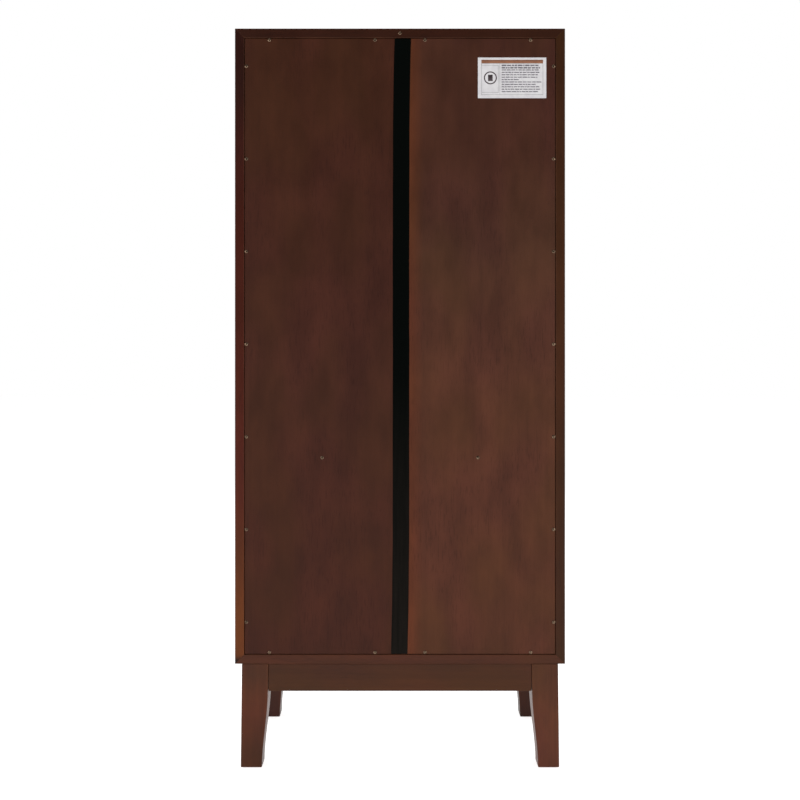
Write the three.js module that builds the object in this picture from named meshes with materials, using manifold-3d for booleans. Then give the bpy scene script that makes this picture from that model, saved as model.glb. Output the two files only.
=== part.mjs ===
// Tall shoe cabinet: a mitred carcass with two inset doors, shelves inside, and four tapered legs.
// Millimetres, +Z up. The front faces -Y. The origin is on the floor, under the middle of the object.

import * as THREE from "three";
import { mergeVertices } from "three/addons/utils/BufferGeometryUtils.js";
import Module from "manifold-3d";

const wasm = await Module();
wasm.setup();

// ---- Driving dimensions -------------------------------------------------------------------------

// Carcass.
const BODY_WIDTH = 714;
const BODY_DEPTH = 375;
const BODY_HEIGHT = 1374;
const BOARD = 28; // carcass board thickness
const REAR_LIP = 20; // what stays of a board's rear edge outside the rabbet
const RABBET_DEPTH = 7.5; // how deep the rabbet for the back panels is
const JOINT_GAP = 0.4; // opening between two mitred faces, along the board
const FIT = 0.3; // assembly gap between pieces that are glued or screwed together
const SKIN_GAP = 0.1; // under a piece with an adhesive back

// Back.
const BACK_PANEL_THICKNESS = 5;
const BACK_PANEL_CLEARANCE = 1.2; // round the two panels, inside the lip
const BACK_SEAM = 1.5; // between the two panels
const TAPE_WIDTH = 35.5;
const TAPE_THICKNESS = 0.4;
const TAPE_END_INSET = 0.5; // from the panels' ends
const TAPE_SHIFT_TOP = -6; // the strip was laid slightly askew
const TAPE_SHIFT_BOTTOM = 1.5;
const LABEL_WIDTH = 148;
const LABEL_HEIGHT = 88;
const LABEL_THICKNESS = 0.2;
const LABEL_CENTRE_X = -242.5;
const LABEL_TOP_MARGIN = 62.5; // from the top of the carcass to the label's upper edge

// Legs and aprons.
const LEG_LENGTH = 224;
const LEG_TOP_WIDTH = 57;
const LEG_FOOT_WIDTH = 46;
const LEG_TOP_INSET = 15; // from the side of the carcass to the leg's outer face
const LEG_FOOT_INSET = 12.5; // the same at the floor, so the legs splay a little
const LEG_CURVE_STEPS = 10;
const APRON_HEIGHT = 59;
const APRON_THICKNESS = 20;
const APRON_SETBACK = 2; // behind the legs' outer faces
const BRACE_REACH = 50; // along each apron, past the leg
const BRACE_HEIGHT = 40;
const GLIDE_THICKNESS = 2;
const GLIDE_RADIUS = 11;

// Doors.
const DOOR_THICKNESS = 20;
const DOOR_GAP = 2; // round each door and between the two
const KNOB_PROJECTION = 25; // from the door's face
const KNOB_RADIUS = 15;
const KNOB_NECK_RADIUS = 6;
const KNOB_BASE_RADIUS = 9;
const KNOB_OUTLINE = [
  // [radius, share of the way from the door's face to the knob's crown]
  [KNOB_BASE_RADIUS, 0],
  [KNOB_BASE_RADIUS, 0.08],
  [KNOB_NECK_RADIUS, 0.22],
  [KNOB_NECK_RADIUS, 0.42],
  [12, 0.54],
  [KNOB_RADIUS, 0.7],
  [14.4, 0.82],
  [11.3, 0.93],
  [6, 0.985],
  [0, 1],
];
const KNOB_EDGE_DISTANCE = 32; // from the door's free edge to the knob's axis
const KNOB_HEIGHT_SHARE = 0.52; // up the door's height
const KNOB_SCREW_RADIUS = 2;
const KNOB_SCREW_REACH = 13; // into the knob
const KNOB_SCREW_HEAD_RADIUS = 4.5;
const KNOB_SCREW_HEAD_HEIGHT = 2.4;
const SCREW_HEAD_CROWN = 0.6; // a screw head's flat crown, as a share of the head's radius
const SCREW_CLEARANCE = 0.3; // radial

// Butt hinges.
const HINGES_PER_DOOR = 3;
const HINGE_END_DISTANCE = 130; // from a door's end to the middle of its end hinge
const HINGE_LENGTH = 65;
const HINGE_LEAF_WIDTH = 16;
const HINGE_LEAF_THICKNESS = 1.5;
const HINGE_LEAF_PROUD = 0.3; // how far a leaf stands out of its mortise
const HINGE_KNUCKLES = 5;
const HINGE_KNUCKLE_RADIUS = 3.9;
const HINGE_KNUCKLE_GAP = 0.3;
const HINGE_PIN_RADIUS = 2;
const HINGE_PIN_CLEARANCE = 0.1; // radial
const HINGE_TIP_RADIUS = 3.2;
const HINGE_TIP_HEIGHT = 3;
const HINGE_TIP_SHOULDER = 1.5; // how high the tip is at its full radius
const HINGE_TIP_CROWN_RADIUS = 1.9;
const HINGE_TIP_CROWN_HEIGHT = 2.7;
const HINGE_AXIS_PROUD = 4.3; // the pin stands this far in front of the doors' faces

// Magnetic catches.
const CATCH_WIDTH = 46;
const CATCH_DEPTH = 15;
const CATCH_HEIGHT = 14;
const CATCH_EDGE_DISTANCE = 40; // from the door's free edge to the catch
const STRIKE_WIDTH = 38;
const STRIKE_HEIGHT = 12;
const STRIKE_THICKNESS = 1.2;
const STRIKE_AIR_GAP = 0.6;
const STRIKE_DROP = 2; // from the catch's middle down to the strike plate's

// Shelves.
const SHELF_THICKNESS = 16;
const FIXED_SHELF_THICKNESS = 18;
const FIXED_SHELF_CENTRE = 446; // above the carcass underside
const FIXED_SHELF_SETBACK = 6; // behind the doors
const LOOSE_SHELF_SETBACK = 16;
const LOOSE_SHELF_REAR_GAP = 8;
const LOOSE_SHELF_SIDE_GAP = 1.5;
const SHELVES_BELOW = 1;
const SHELVES_ABOVE = 4;
const SHELF_PIN_RADIUS = 2.5;
const SHELF_PIN_CLEARANCE = 0.1; // radial
const SHELF_PIN_HOLE_DEPTH = 10;
const SHELF_PIN_INSET = 45; // from a shelf's front and rear edges
const SHELF_PIN_PITCH = 32; // spare holes above and below the used one

// Screw that the anti-tip strap hangs from, in the top board's rear edge.
const STRAP_SCREW_RADIUS = 2;
const STRAP_SCREW_HEAD_RADIUS = 3.6;
const STRAP_SCREW_HEAD_HEIGHT = 2;
const STRAP_SCREW_LENGTH = 26;
const STRAP_SCREW_SUNK = 0.6; // below the board's edge

const ROUND_SEGMENTS = 20;
const SMALL_SEGMENTS = 12;
const HOLE_SEGMENTS = 8;
const CUT_OVERRUN = 2; // how far a cutting solid runs past the face that it opens

// ---- Sizes that follow ---------------------------------------------------------------------------

const HALF_WIDTH = BODY_WIDTH / 2;
const HALF_DEPTH = BODY_DEPTH / 2;
const INNER_HALF = HALF_WIDTH - BOARD;
const BODY_BOTTOM = LEG_LENGTH + GLIDE_THICKNESS;
const BODY_TOP = BODY_BOTTOM + BODY_HEIGHT;
const FOOT_LEVEL = GLIDE_THICKNESS + SKIN_GAP;
const TAPER_TOP = BODY_BOTTOM - APRON_HEIGHT; // the legs taper below the aprons
const INNER_BOTTOM = BODY_BOTTOM + BOARD;
const INNER_TOP = BODY_TOP - BOARD;
const RABBET_FLOOR = HALF_DEPTH - RABBET_DEPTH;
const BACK_PANEL_REAR = RABBET_FLOOR + FIT + BACK_PANEL_THICKNESS;
const DOOR_REAR = DOOR_THICKNESS - HALF_DEPTH;
const DOOR_BOTTOM = INNER_BOTTOM + DOOR_GAP;
const DOOR_TOP = INNER_TOP - DOOR_GAP;
const DOOR_HINGE_EDGE = INNER_HALF - DOOR_GAP;
const DOOR_FREE_EDGE = DOOR_GAP / 2;
const MORTISE_DEPTH = HINGE_LEAF_THICKNESS - HINGE_LEAF_PROUD + FIT;
const AXIS_X = INNER_HALF - DOOR_GAP / 2;
const AXIS_Y = -HALF_DEPTH - HINGE_AXIS_PROUD;
const KNOB_X = DOOR_FREE_EDGE + KNOB_EDGE_DISTANCE;
const KNOB_Z = DOOR_BOTTOM + KNOB_HEIGHT_SHARE * (DOOR_TOP - DOOR_BOTTOM);
const HINGE_LEVELS = evenSteps(
  DOOR_BOTTOM + HINGE_END_DISTANCE,
  DOOR_TOP - HINGE_END_DISTANCE,
  HINGES_PER_DOOR,
);
const FIXED_SHELF_BOTTOM = BODY_BOTTOM + FIXED_SHELF_CENTRE - FIXED_SHELF_THICKNESS / 2;
const FIXED_SHELF_TOP = FIXED_SHELF_BOTTOM + FIXED_SHELF_THICKNESS;
const LOOSE_SHELF_LEVELS = [
  ...shelfLevels(INNER_BOTTOM, FIXED_SHELF_BOTTOM, SHELVES_BELOW),
  ...shelfLevels(FIXED_SHELF_TOP, INNER_TOP, SHELVES_ABOVE),
];
const LOOSE_SHELF_FRONT = DOOR_REAR + LOOSE_SHELF_SETBACK;
const LOOSE_SHELF_REAR = RABBET_FLOOR - LOOSE_SHELF_REAR_GAP;

// ---- Materials -----------------------------------------------------------------------------------

const finish = (color, roughness, metalness = 0) =>
  new THREE.MeshStandardMaterial({ color, roughness, metalness });

const CARCASS_WOOD = finish("#4a2b1d", 0.4);
const BACK_BOARD = finish("#4e2f25", 0.5);
const DOOR_WOOD = finish("#4a2a1c", 0.38);
const SHELF_BOARD = finish("#543428", 0.55);
const LEG_WOOD = finish("#57372a", 0.38);
const RAW_WOOD = finish("#a98258", 0.8);
const BLACK_TAPE = finish("#0b0b09", 0.7);
const LABEL_PAPER = finish("#ece4e6", 0.6);
const HINGE_STEEL = finish("#8d8579", 0.35, 0.9);
const SCREW_STEEL = finish("#4b3f33", 0.35, 0.9);
const KNOB_METAL = finish("#5b4a3a", 0.35, 0.9);
const CATCH_PLASTIC = finish("#3a2a20", 0.5);
const GLIDE_PLASTIC = finish("#2b2622", 0.6);

// ---- Shapes --------------------------------------------------------------------------------------

/** count values from low to high, both included. */
function evenSteps(low, high, count) {
  return Array.from({ length: count }, (_, i) => low + ((high - low) * i) / (count - 1));
}

/** The undersides of count shelves that share the height between two boards equally. */
function shelfLevels(low, high, count) {
  const bay = (high - low - count * SHELF_THICKNESS) / (count + 1);
  return Array.from({ length: count }, (_, i) => low + bay + i * (bay + SHELF_THICKNESS));
}

/** A box from its lowest to its highest corner. */
function block([x0, y0, z0], [x1, y1, z1]) {
  const box = new THREE.BoxGeometry(x1 - x0, y1 - y0, z1 - z0);
  return box.translate((x0 + x1) / 2, (y0 + y1) / 2, (z0 + z1) / 2);
}

/** A prism whose outline is a list of [across, up] points, extruded between two places. */
function prism(outline, low, high) {
  const shape = new THREE.Shape(outline.map(([u, v]) => new THREE.Vector2(u, v)));
  const extruded = new THREE.ExtrudeGeometry(shape, { depth: high - low, bevelEnabled: false });
  return extruded.translate(0, 0, low);
}

/** An outline in X and Z, carried along Y. */
function prismAlongY(outline, low, high) {
  return prism(outline, -high, -low).rotateX(Math.PI / 2);
}

/** An outline in Y and Z, carried along X. */
function prismAlongX(outline, low, high) {
  const order = new THREE.Matrix4().makeBasis(
    new THREE.Vector3(0, 1, 0),
    new THREE.Vector3(0, 0, 1),
    new THREE.Vector3(1, 0, 0),
  );
  return prism(outline, low, high).applyMatrix4(order);
}

/** A turned shape about Z, from [radius, height] points that start and end on the axis. */
function turned(profile, segments) {
  const points = profile.map(([r, h]) => new THREE.Vector2(r, h));
  return new THREE.LatheGeometry(points, segments).rotateX(Math.PI / 2);
}

/** A cylinder about Z between two heights. */
function rod(radius, low, high, segments) {
  const cylinder = new THREE.CylinderGeometry(radius, radius, high - low, segments);
  return cylinder.rotateX(Math.PI / 2).translate(0, 0, (low + high) / 2);
}

/** The closed solid that a geometry bounds, for joins and cuts. */
function solid(geometry) {
  geometry.deleteAttribute("normal");
  geometry.deleteAttribute("uv");
  const merged = mergeVertices(geometry, 1e-4);
  const index = merged.index.array;
  const corners = [];
  for (let i = 0; i < index.length; i += 3) {
    const [a, b, c] = [index[i], index[i + 1], index[i + 2]];
    if (a !== b && b !== c && c !== a) corners.push(a, b, c);
  }
  const mesh = new wasm.Mesh({
    numProp: 3,
    vertProperties: new Float32Array(merged.attributes.position.array),
    triVerts: new Uint32Array(corners),
  });
  return new wasm.Manifold(mesh);
}

/** The geometry of a solid, back from a join or a cut. */
function geometryOf(shape) {
  const mesh = shape.getMesh();
  const geometry = new THREE.BufferGeometry();
  geometry.setAttribute("position", new THREE.BufferAttribute(mesh.vertProperties, 3));
  geometry.setIndex(new THREE.BufferAttribute(mesh.triVerts, 1));
  return geometry;
}

/** base with each of the cutters taken out of it, as a geometry. */
function cut(base, cutters) {
  return geometryOf(cutters.reduce((left, c) => left.subtract(solid(c)), solid(base)));
}

/** One named piece. */
function piece(name, geometry, material) {
  const mesh = new THREE.Mesh(geometry, material);
  mesh.name = name;
  return mesh;
}

// ---- Carcass -------------------------------------------------------------------------------------

/** The rabbet that the back panels lie in, as one cutter for all four boards. */
function rabbet() {
  return block(
    [REAR_LIP - HALF_WIDTH, RABBET_FLOOR, BODY_BOTTOM + REAR_LIP],
    [HALF_WIDTH - REAR_LIP, HALF_DEPTH + CUT_OVERRUN, BODY_TOP - REAR_LIP],
  );
}

/** Seats for the hinge leaves in the side board. */
function sideMortises() {
  return HINGE_LEVELS.map((level) =>
    block(
      [
        INNER_HALF - CUT_OVERRUN,
        -HALF_DEPTH - CUT_OVERRUN,
        level - HINGE_LENGTH / 2 - FIT,
      ],
      [
        INNER_HALF + MORTISE_DEPTH,
        HINGE_LEAF_WIDTH + FIT - HALF_DEPTH,
        level + HINGE_LENGTH / 2 + FIT,
      ],
    ),
  );
}

/** Holes for the shelf pins: at each shelf the used one, a spare above and a spare below. */
function pinHoles() {
  const rows = [LOOSE_SHELF_FRONT + SHELF_PIN_INSET, LOOSE_SHELF_REAR - SHELF_PIN_INSET];
  const radius = SHELF_PIN_RADIUS + SHELF_PIN_CLEARANCE;
  const holes = [];
  for (const level of LOOSE_SHELF_LEVELS) {
    for (const step of [-1, 0, 1]) {
      const z = level - SHELF_PIN_RADIUS + step * SHELF_PIN_PITCH;
      for (const y of rows) {
        const hole = rod(radius, -CUT_OVERRUN, SHELF_PIN_HOLE_DEPTH, HOLE_SEGMENTS);
        holes.push(hole.rotateY(Math.PI / 2).translate(INNER_HALF, y, z));
      }
    }
  }
  return holes;
}

/** A carcass side, at +X. Its two ends are mitred. */
function sideBoard() {
  const outline = [
    [INNER_HALF, INNER_BOTTOM + JOINT_GAP],
    [HALF_WIDTH, BODY_BOTTOM + JOINT_GAP],
    [HALF_WIDTH, BODY_TOP - JOINT_GAP],
    [INNER_HALF, INNER_TOP - JOINT_GAP],
  ];
  const board = prismAlongY(outline, -HALF_DEPTH, HALF_DEPTH);
  return cut(board, [rabbet(), ...sideMortises(), ...pinHoles()]);
}

/** The top or the bottom board: outer is its outer face, inner its inner face. */
function levelBoard(outer, inner, cutters) {
  const outline = [
    [-HALF_WIDTH, outer],
    [HALF_WIDTH, outer],
    [INNER_HALF, inner],
    [-INNER_HALF, inner],
  ];
  const ordered = outer < inner ? outline : outline.reverse();
  return cut(prismAlongY(ordered, -HALF_DEPTH, HALF_DEPTH), [rabbet(), ...cutters]);
}

/** The counterbore and the pilot of the strap screw, in the top board's rear edge. */
function strapScrewHole() {
  const seat = STRAP_SCREW_SUNK + STRAP_SCREW_HEAD_HEIGHT + FIT;
  const profile = [
    [0, -CUT_OVERRUN],
    [STRAP_SCREW_HEAD_RADIUS + SCREW_CLEARANCE, -CUT_OVERRUN],
    [STRAP_SCREW_HEAD_RADIUS + SCREW_CLEARANCE, seat],
    [STRAP_SCREW_RADIUS + SCREW_CLEARANCE, seat],
    [STRAP_SCREW_RADIUS + SCREW_CLEARANCE, seat + STRAP_SCREW_LENGTH + FIT],
    [0, seat + STRAP_SCREW_LENGTH + FIT],
  ];
  return facingBack(turned(profile, SMALL_SEGMENTS));
}

/** Turns a shape about Z, so that its height runs into the top board from its rear edge. */
function facingBack(geometry) {
  return geometry.rotateX(Math.PI / 2).translate(0, HALF_DEPTH, BODY_TOP - REAR_LIP / 2);
}

function strapScrew() {
  const low = STRAP_SCREW_SUNK;
  const seat = low + STRAP_SCREW_HEAD_HEIGHT;
  const profile = [
    [0, low],
    [STRAP_SCREW_HEAD_RADIUS * SCREW_HEAD_CROWN, low],
    [STRAP_SCREW_HEAD_RADIUS, low + STRAP_SCREW_HEAD_HEIGHT / 2],
    [STRAP_SCREW_HEAD_RADIUS, seat],
    [STRAP_SCREW_RADIUS, seat],
    [STRAP_SCREW_RADIUS, seat + STRAP_SCREW_LENGTH - STRAP_SCREW_RADIUS],
    [0, seat + STRAP_SCREW_LENGTH],
  ];
  return facingBack(turned(profile, SMALL_SEGMENTS));
}

function addCarcass(group, leftHalf) {
  group.add(piece("side_right", sideBoard(), CARCASS_WOOD));
  leftHalf.add(piece("side_left", sideBoard(), CARCASS_WOOD));
  group.add(piece("bottom_board", levelBoard(BODY_BOTTOM, INNER_BOTTOM, []), CARCASS_WOOD));
  const top = levelBoard(BODY_TOP, INNER_TOP, [strapScrewHole()]);
  group.add(piece("top_board", top, CARCASS_WOOD));
  group.add(piece("strap_screw", strapScrew(), SCREW_STEEL));
}

// ---- Back ----------------------------------------------------------------------------------------

/** One of the two back panels, on the +X side of the seam. */
function backPanel() {
  const margin = REAR_LIP + BACK_PANEL_CLEARANCE;
  return block(
    [BACK_SEAM / 2, RABBET_FLOOR + FIT, BODY_BOTTOM + margin],
    [HALF_WIDTH - margin, BACK_PANEL_REAR, BODY_TOP - margin],
  );
}

/** The vinyl strip over the seam of the back panels, slightly out of plumb. */
function seamTape() {
  const margin = REAR_LIP + BACK_PANEL_CLEARANCE + TAPE_END_INSET;
  const low = BODY_BOTTOM + margin;
  const high = BODY_TOP - margin;
  const outline = [
    [TAPE_SHIFT_BOTTOM - TAPE_WIDTH / 2, low],
    [TAPE_SHIFT_BOTTOM + TAPE_WIDTH / 2, low],
    [TAPE_SHIFT_TOP + TAPE_WIDTH / 2, high],
    [TAPE_SHIFT_TOP - TAPE_WIDTH / 2, high],
  ];
  const face = BACK_PANEL_REAR + SKIN_GAP;
  return prismAlongY(outline, face, face + TAPE_THICKNESS);
}

function infoLabel() {
  const face = BACK_PANEL_REAR + SKIN_GAP;
  const top = BODY_TOP - LABEL_TOP_MARGIN;
  return block(
    [LABEL_CENTRE_X - LABEL_WIDTH / 2, face, top - LABEL_HEIGHT],
    [LABEL_CENTRE_X + LABEL_WIDTH / 2, face + LABEL_THICKNESS, top],
  );
}

function addBack(group, leftHalf) {
  group.add(piece("back_panel_right", backPanel(), BACK_BOARD));
  leftHalf.add(piece("back_panel_left", backPanel(), BACK_BOARD));
  group.add(piece("seam_tape", seamTape(), BLACK_TAPE));
  group.add(piece("info_label", infoLabel(), LABEL_PAPER));
}

// ---- Legs and aprons -----------------------------------------------------------------------------

/** A leg's width at a height: full down to the aprons, then an S-curve to the foot. */
function legWidth(z) {
  const t = THREE.MathUtils.smoothstep(z, FOOT_LEVEL, TAPER_TOP);
  return THREE.MathUtils.lerp(LEG_FOOT_WIDTH, LEG_TOP_WIDTH, t);
}

/** One face of a leg as [across, up]: outer is where its outer line stands, at foot and top. */
function legOutline(outerFoot, outerTop) {
  const top = BODY_BOTTOM - FIT;
  const line = (z) => THREE.MathUtils.mapLinear(z, FOOT_LEVEL, top, outerFoot, outerTop);
  const heights = [top, ...evenSteps(TAPER_TOP, FOOT_LEVEL, LEG_CURVE_STEPS)];
  const inner = heights.map((z) => [line(z) - legWidth(z), z]);
  return [[outerFoot, FOOT_LEVEL], [outerTop, top], ...inner];
}

/** A leg at the +X +Y corner: the outline seen from behind, cut by the outline seen from the side. */
function leg() {
  const wide = Math.max(HALF_WIDTH, HALF_DEPTH);
  const fromBehind = legOutline(HALF_WIDTH - LEG_FOOT_INSET, HALF_WIDTH - LEG_TOP_INSET);
  const fromTheSide = legOutline(HALF_DEPTH, HALF_DEPTH);
  const first = solid(prismAlongY(fromBehind, 0, wide));
  return geometryOf(first.intersect(solid(prismAlongX(fromTheSide, 0, wide))));
}

/** A nylon glide under a leg's foot. */
function glide() {
  const disc = rod(GLIDE_RADIUS, 0, GLIDE_THICKNESS, ROUND_SEGMENTS);
  const half = LEG_FOOT_WIDTH / 2;
  return disc.translate(HALF_WIDTH - LEG_FOOT_INSET - half, HALF_DEPTH - half, 0);
}

/** The brace inside a corner, which hugs the leg and lies against both aprons. */
function cornerBrace() {
  const apron = APRON_SETBACK + APRON_THICKNESS + FIT;
  const post = LEG_TOP_WIDTH + FIT;
  const reach = post + BRACE_REACH;
  const x = HALF_WIDTH - LEG_TOP_INSET;
  const outline = [
    [x - post, HALF_DEPTH - apron],
    [x - reach, HALF_DEPTH - apron],
    [x - apron, HALF_DEPTH - reach],
    [x - apron, HALF_DEPTH - post],
    [x - post, HALF_DEPTH - post],
  ];
  return prism(outline, BODY_BOTTOM - FIT - BRACE_HEIGHT, BODY_BOTTOM - FIT);
}

/** The rear apron. The front one is its mirror image. */
function longApron() {
  const end = HALF_WIDTH - LEG_TOP_INSET - LEG_TOP_WIDTH - FIT;
  const face = HALF_DEPTH - APRON_SETBACK;
  return block(
    [-end, face - APRON_THICKNESS, BODY_BOTTOM - APRON_HEIGHT],
    [end, face, BODY_BOTTOM - FIT],
  );
}

/** The apron at +X. */
function shortApron() {
  const end = HALF_DEPTH - LEG_TOP_WIDTH - FIT;
  const face = HALF_WIDTH - LEG_TOP_INSET - APRON_SETBACK;
  return block(
    [face - APRON_THICKNESS, -end, BODY_BOTTOM - APRON_HEIGHT],
    [face, end, BODY_BOTTOM - FIT],
  );
}

/** What stands at one corner under the carcass. */
function addCorner(group, place) {
  group.add(piece(`leg_${place}`, leg(), LEG_WOOD));
  group.add(piece(`corner_brace_${place}`, cornerBrace(), RAW_WOOD));
  group.add(piece(`foot_glide_${place}`, glide(), GLIDE_PLASTIC));
}

function addBase(group) {
  for (const [place, x, y] of [
    ["rear_right", 1, 1],
    ["rear_left", -1, 1],
    ["front_right", 1, -1],
    ["front_left", -1, -1],
  ]) {
    const corner = mirrored(x, y);
    addCorner(corner, place);
    group.add(corner);
  }
  const front = mirrored(1, -1);
  const left = mirrored(-1, 1);
  group.add(piece("apron_rear", longApron(), LEG_WOOD));
  front.add(piece("apron_front", longApron(), LEG_WOOD));
  group.add(piece("apron_right", shortApron(), LEG_WOOD));
  left.add(piece("apron_left", shortApron(), LEG_WOOD));
  group.add(front, left);
}

// ---- Shelves -------------------------------------------------------------------------------------

function fixedShelf() {
  return block(
    [FIT - INNER_HALF, DOOR_REAR + FIXED_SHELF_SETBACK, FIXED_SHELF_BOTTOM],
    [INNER_HALF - FIT, RABBET_FLOOR, FIXED_SHELF_TOP],
  );
}

function looseShelf(level) {
  const half = INNER_HALF - LOOSE_SHELF_SIDE_GAP;
  return block(
    [-half, LOOSE_SHELF_FRONT, level],
    [half, LOOSE_SHELF_REAR, level + SHELF_THICKNESS],
  );
}

function addShelves(group) {
  group.add(piece("fixed_shelf", fixedShelf(), SHELF_BOARD));
  LOOSE_SHELF_LEVELS.forEach((level, i) => {
    group.add(piece(`loose_shelf_${i + 1}`, looseShelf(level), SHELF_BOARD));
  });
}

// ---- Doors, with everything at +X; the left ones are mirror images -------------------------------

/** Seats for the hinge leaves in the door's edge. */
function doorMortises() {
  return HINGE_LEVELS.map((level) =>
    block(
      [
        DOOR_HINGE_EDGE - MORTISE_DEPTH,
        -HALF_DEPTH - CUT_OVERRUN,
        level - HINGE_LENGTH / 2 - FIT,
      ],
      [
        DOOR_HINGE_EDGE + CUT_OVERRUN,
        HINGE_LEAF_WIDTH + FIT - HALF_DEPTH,
        level + HINGE_LENGTH / 2 + FIT,
      ],
    ),
  );
}

function door() {
  const slab = block(
    [DOOR_FREE_EDGE, -HALF_DEPTH, DOOR_BOTTOM],
    [DOOR_HINGE_EDGE, DOOR_REAR, DOOR_TOP],
  );
  const screwHole = rod(
    KNOB_SCREW_RADIUS + SCREW_CLEARANCE,
    -CUT_OVERRUN,
    DOOR_THICKNESS + CUT_OVERRUN,
    SMALL_SEGMENTS,
  );
  return cut(slab, [...doorMortises(), atKnob(screwHole)]);
}

/** Turns a shape about Z so that its height runs out of the door's inner face, towards the front. */
function atKnob(geometry) {
  return geometry.rotateX(Math.PI / 2).translate(KNOB_X, DOOR_REAR, KNOB_Z);
}

/** A turned knob with a blind hole for its screw. */
function knob() {
  const foot = DOOR_THICKNESS + FIT;
  const bore = KNOB_SCREW_RADIUS + SCREW_CLEARANCE;
  const boreEnd = foot + KNOB_SCREW_REACH;
  const rise = KNOB_PROJECTION - FIT;
  const outside = KNOB_OUTLINE.map(([radius, share]) => [radius, foot + rise * share]);
  const profile = [[0, boreEnd], [bore, boreEnd], [bore, foot], ...outside];
  return atKnob(turned(profile, ROUND_SEGMENTS));
}

/** The knob's screw: its head lies on the door's inner face and its shank ends in the knob. */
function knobScrew() {
  const tip = DOOR_THICKNESS + KNOB_SCREW_REACH - FIT;
  const profile = [
    [0, -FIT - KNOB_SCREW_HEAD_HEIGHT],
    [KNOB_SCREW_HEAD_RADIUS * SCREW_HEAD_CROWN, -FIT - KNOB_SCREW_HEAD_HEIGHT],
    [KNOB_SCREW_HEAD_RADIUS, -FIT - KNOB_SCREW_HEAD_HEIGHT / 2],
    [KNOB_SCREW_HEAD_RADIUS, -FIT],
    [KNOB_SCREW_RADIUS, -FIT],
    [KNOB_SCREW_RADIUS, tip],
    [0, tip],
  ];
  return atKnob(turned(profile, SMALL_SEGMENTS));
}

/** The heights of a hinge's knuckles, [low, high], from the bottom up and about its middle. */
function knuckleSpans() {
  const step = HINGE_LENGTH / HINGE_KNUCKLES;
  return Array.from({ length: HINGE_KNUCKLES }, (_, i) => [
    i * step - HINGE_LENGTH / 2 + HINGE_KNUCKLE_GAP / 2,
    (i + 1) * step - HINGE_LENGTH / 2 - HINGE_KNUCKLE_GAP / 2,
  ]);
}

/**
 * A hinge leaf about its pin's axis: a plate in its mortise, a tab to each of its knuckles, and
 * the knuckles, bored for the pin. side is 1 for the frame's leaf and -1 for the door's.
 */
function hingeLeaf(side) {
  const near = DOOR_GAP / 2 - HINGE_LEAF_PROUD;
  const far = near + HINGE_LEAF_THICKNESS;
  const bore = HINGE_PIN_RADIUS + HINGE_PIN_CLEARANCE;
  const [x0, x1] = side > 0 ? [near, far] : [-far, -near];
  const plate = block(
    [x0, HINGE_AXIS_PROUD, -HINGE_LENGTH / 2],
    [x1, HINGE_AXIS_PROUD + HINGE_LEAF_WIDTH, HINGE_LENGTH / 2],
  );
  const own = knuckleSpans().filter((_, i) => (i % 2 === 0) === side > 0);
  let leaf = solid(plate);
  for (const [low, high] of own) {
    leaf = leaf.add(solid(block([x0, bore, low], [x1, HINGE_AXIS_PROUD + FIT, high])));
    leaf = leaf.add(solid(rod(HINGE_KNUCKLE_RADIUS, low, high, SMALL_SEGMENTS)));
  }
  const reach = HINGE_LENGTH / 2 + CUT_OVERRUN;
  return geometryOf(leaf.subtract(solid(rod(bore, -reach, reach, SMALL_SEGMENTS))));
}

/** A hinge pin with a small turned tip at each end. */
function hingePin() {
  const seat = HINGE_LENGTH / 2 + HINGE_KNUCKLE_GAP;
  const end = seat + HINGE_TIP_HEIGHT;
  const half = [
    [HINGE_PIN_RADIUS, seat],
    [HINGE_TIP_RADIUS, seat],
    [HINGE_TIP_RADIUS, seat + HINGE_TIP_SHOULDER],
    [HINGE_TIP_CROWN_RADIUS, seat + HINGE_TIP_CROWN_HEIGHT],
    [0, end],
  ];
  const lower = half.map(([r, h]) => [r, -h]).reverse();
  return turned([...lower, ...half], SMALL_SEGMENTS);
}

/** A magnetic catch on the underside of the top board. */
function catchBody() {
  const x = DOOR_FREE_EDGE + CATCH_EDGE_DISTANCE;
  const front = DOOR_REAR + FIT + STRIKE_THICKNESS + STRIKE_AIR_GAP;
  return block(
    [x, front, INNER_TOP - FIT - CATCH_HEIGHT],
    [x + CATCH_WIDTH, front + CATCH_DEPTH, INNER_TOP - FIT],
  );
}

/** The steel plate on the door that the catch holds. */
function strikePlate() {
  const x = DOOR_FREE_EDGE + CATCH_EDGE_DISTANCE + (CATCH_WIDTH - STRIKE_WIDTH) / 2;
  const z = INNER_TOP - FIT - CATCH_HEIGHT / 2 - STRIKE_HEIGHT / 2 - STRIKE_DROP;
  return block(
    [x, DOOR_REAR + FIT, z],
    [x + STRIKE_WIDTH, DOOR_REAR + FIT + STRIKE_THICKNESS, z + STRIKE_HEIGHT],
  );
}

function addDoor(group, side) {
  group.add(piece(`door_${side}`, door(), DOOR_WOOD));
  group.add(piece(`knob_${side}`, knob(), KNOB_METAL));
  group.add(piece(`knob_screw_${side}`, knobScrew(), SCREW_STEEL));
  group.add(piece(`catch_${side}`, catchBody(), CATCH_PLASTIC));
  group.add(piece(`strike_plate_${side}`, strikePlate(), SCREW_STEEL));
  HINGE_LEVELS.forEach((level, i) => {
    const hinge = new THREE.Group();
    hinge.position.set(AXIS_X, AXIS_Y, level);
    const name = `${side}_${i + 1}`;
    hinge.add(piece(`frame_leaf_${name}`, hingeLeaf(1), HINGE_STEEL));
    hinge.add(piece(`door_leaf_${name}`, hingeLeaf(-1), HINGE_STEEL));
    hinge.add(piece(`hinge_pin_${name}`, hingePin(), HINGE_STEEL));
    group.add(hinge);
  });
}

// ---- The cabinet ---------------------------------------------------------------------------------

/** A group that mirrors what is in it, left to right, front to back, or both. */
function mirrored(x, y) {
  const group = new THREE.Group();
  group.scale.set(x, y, 1);
  return group;
}

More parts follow.
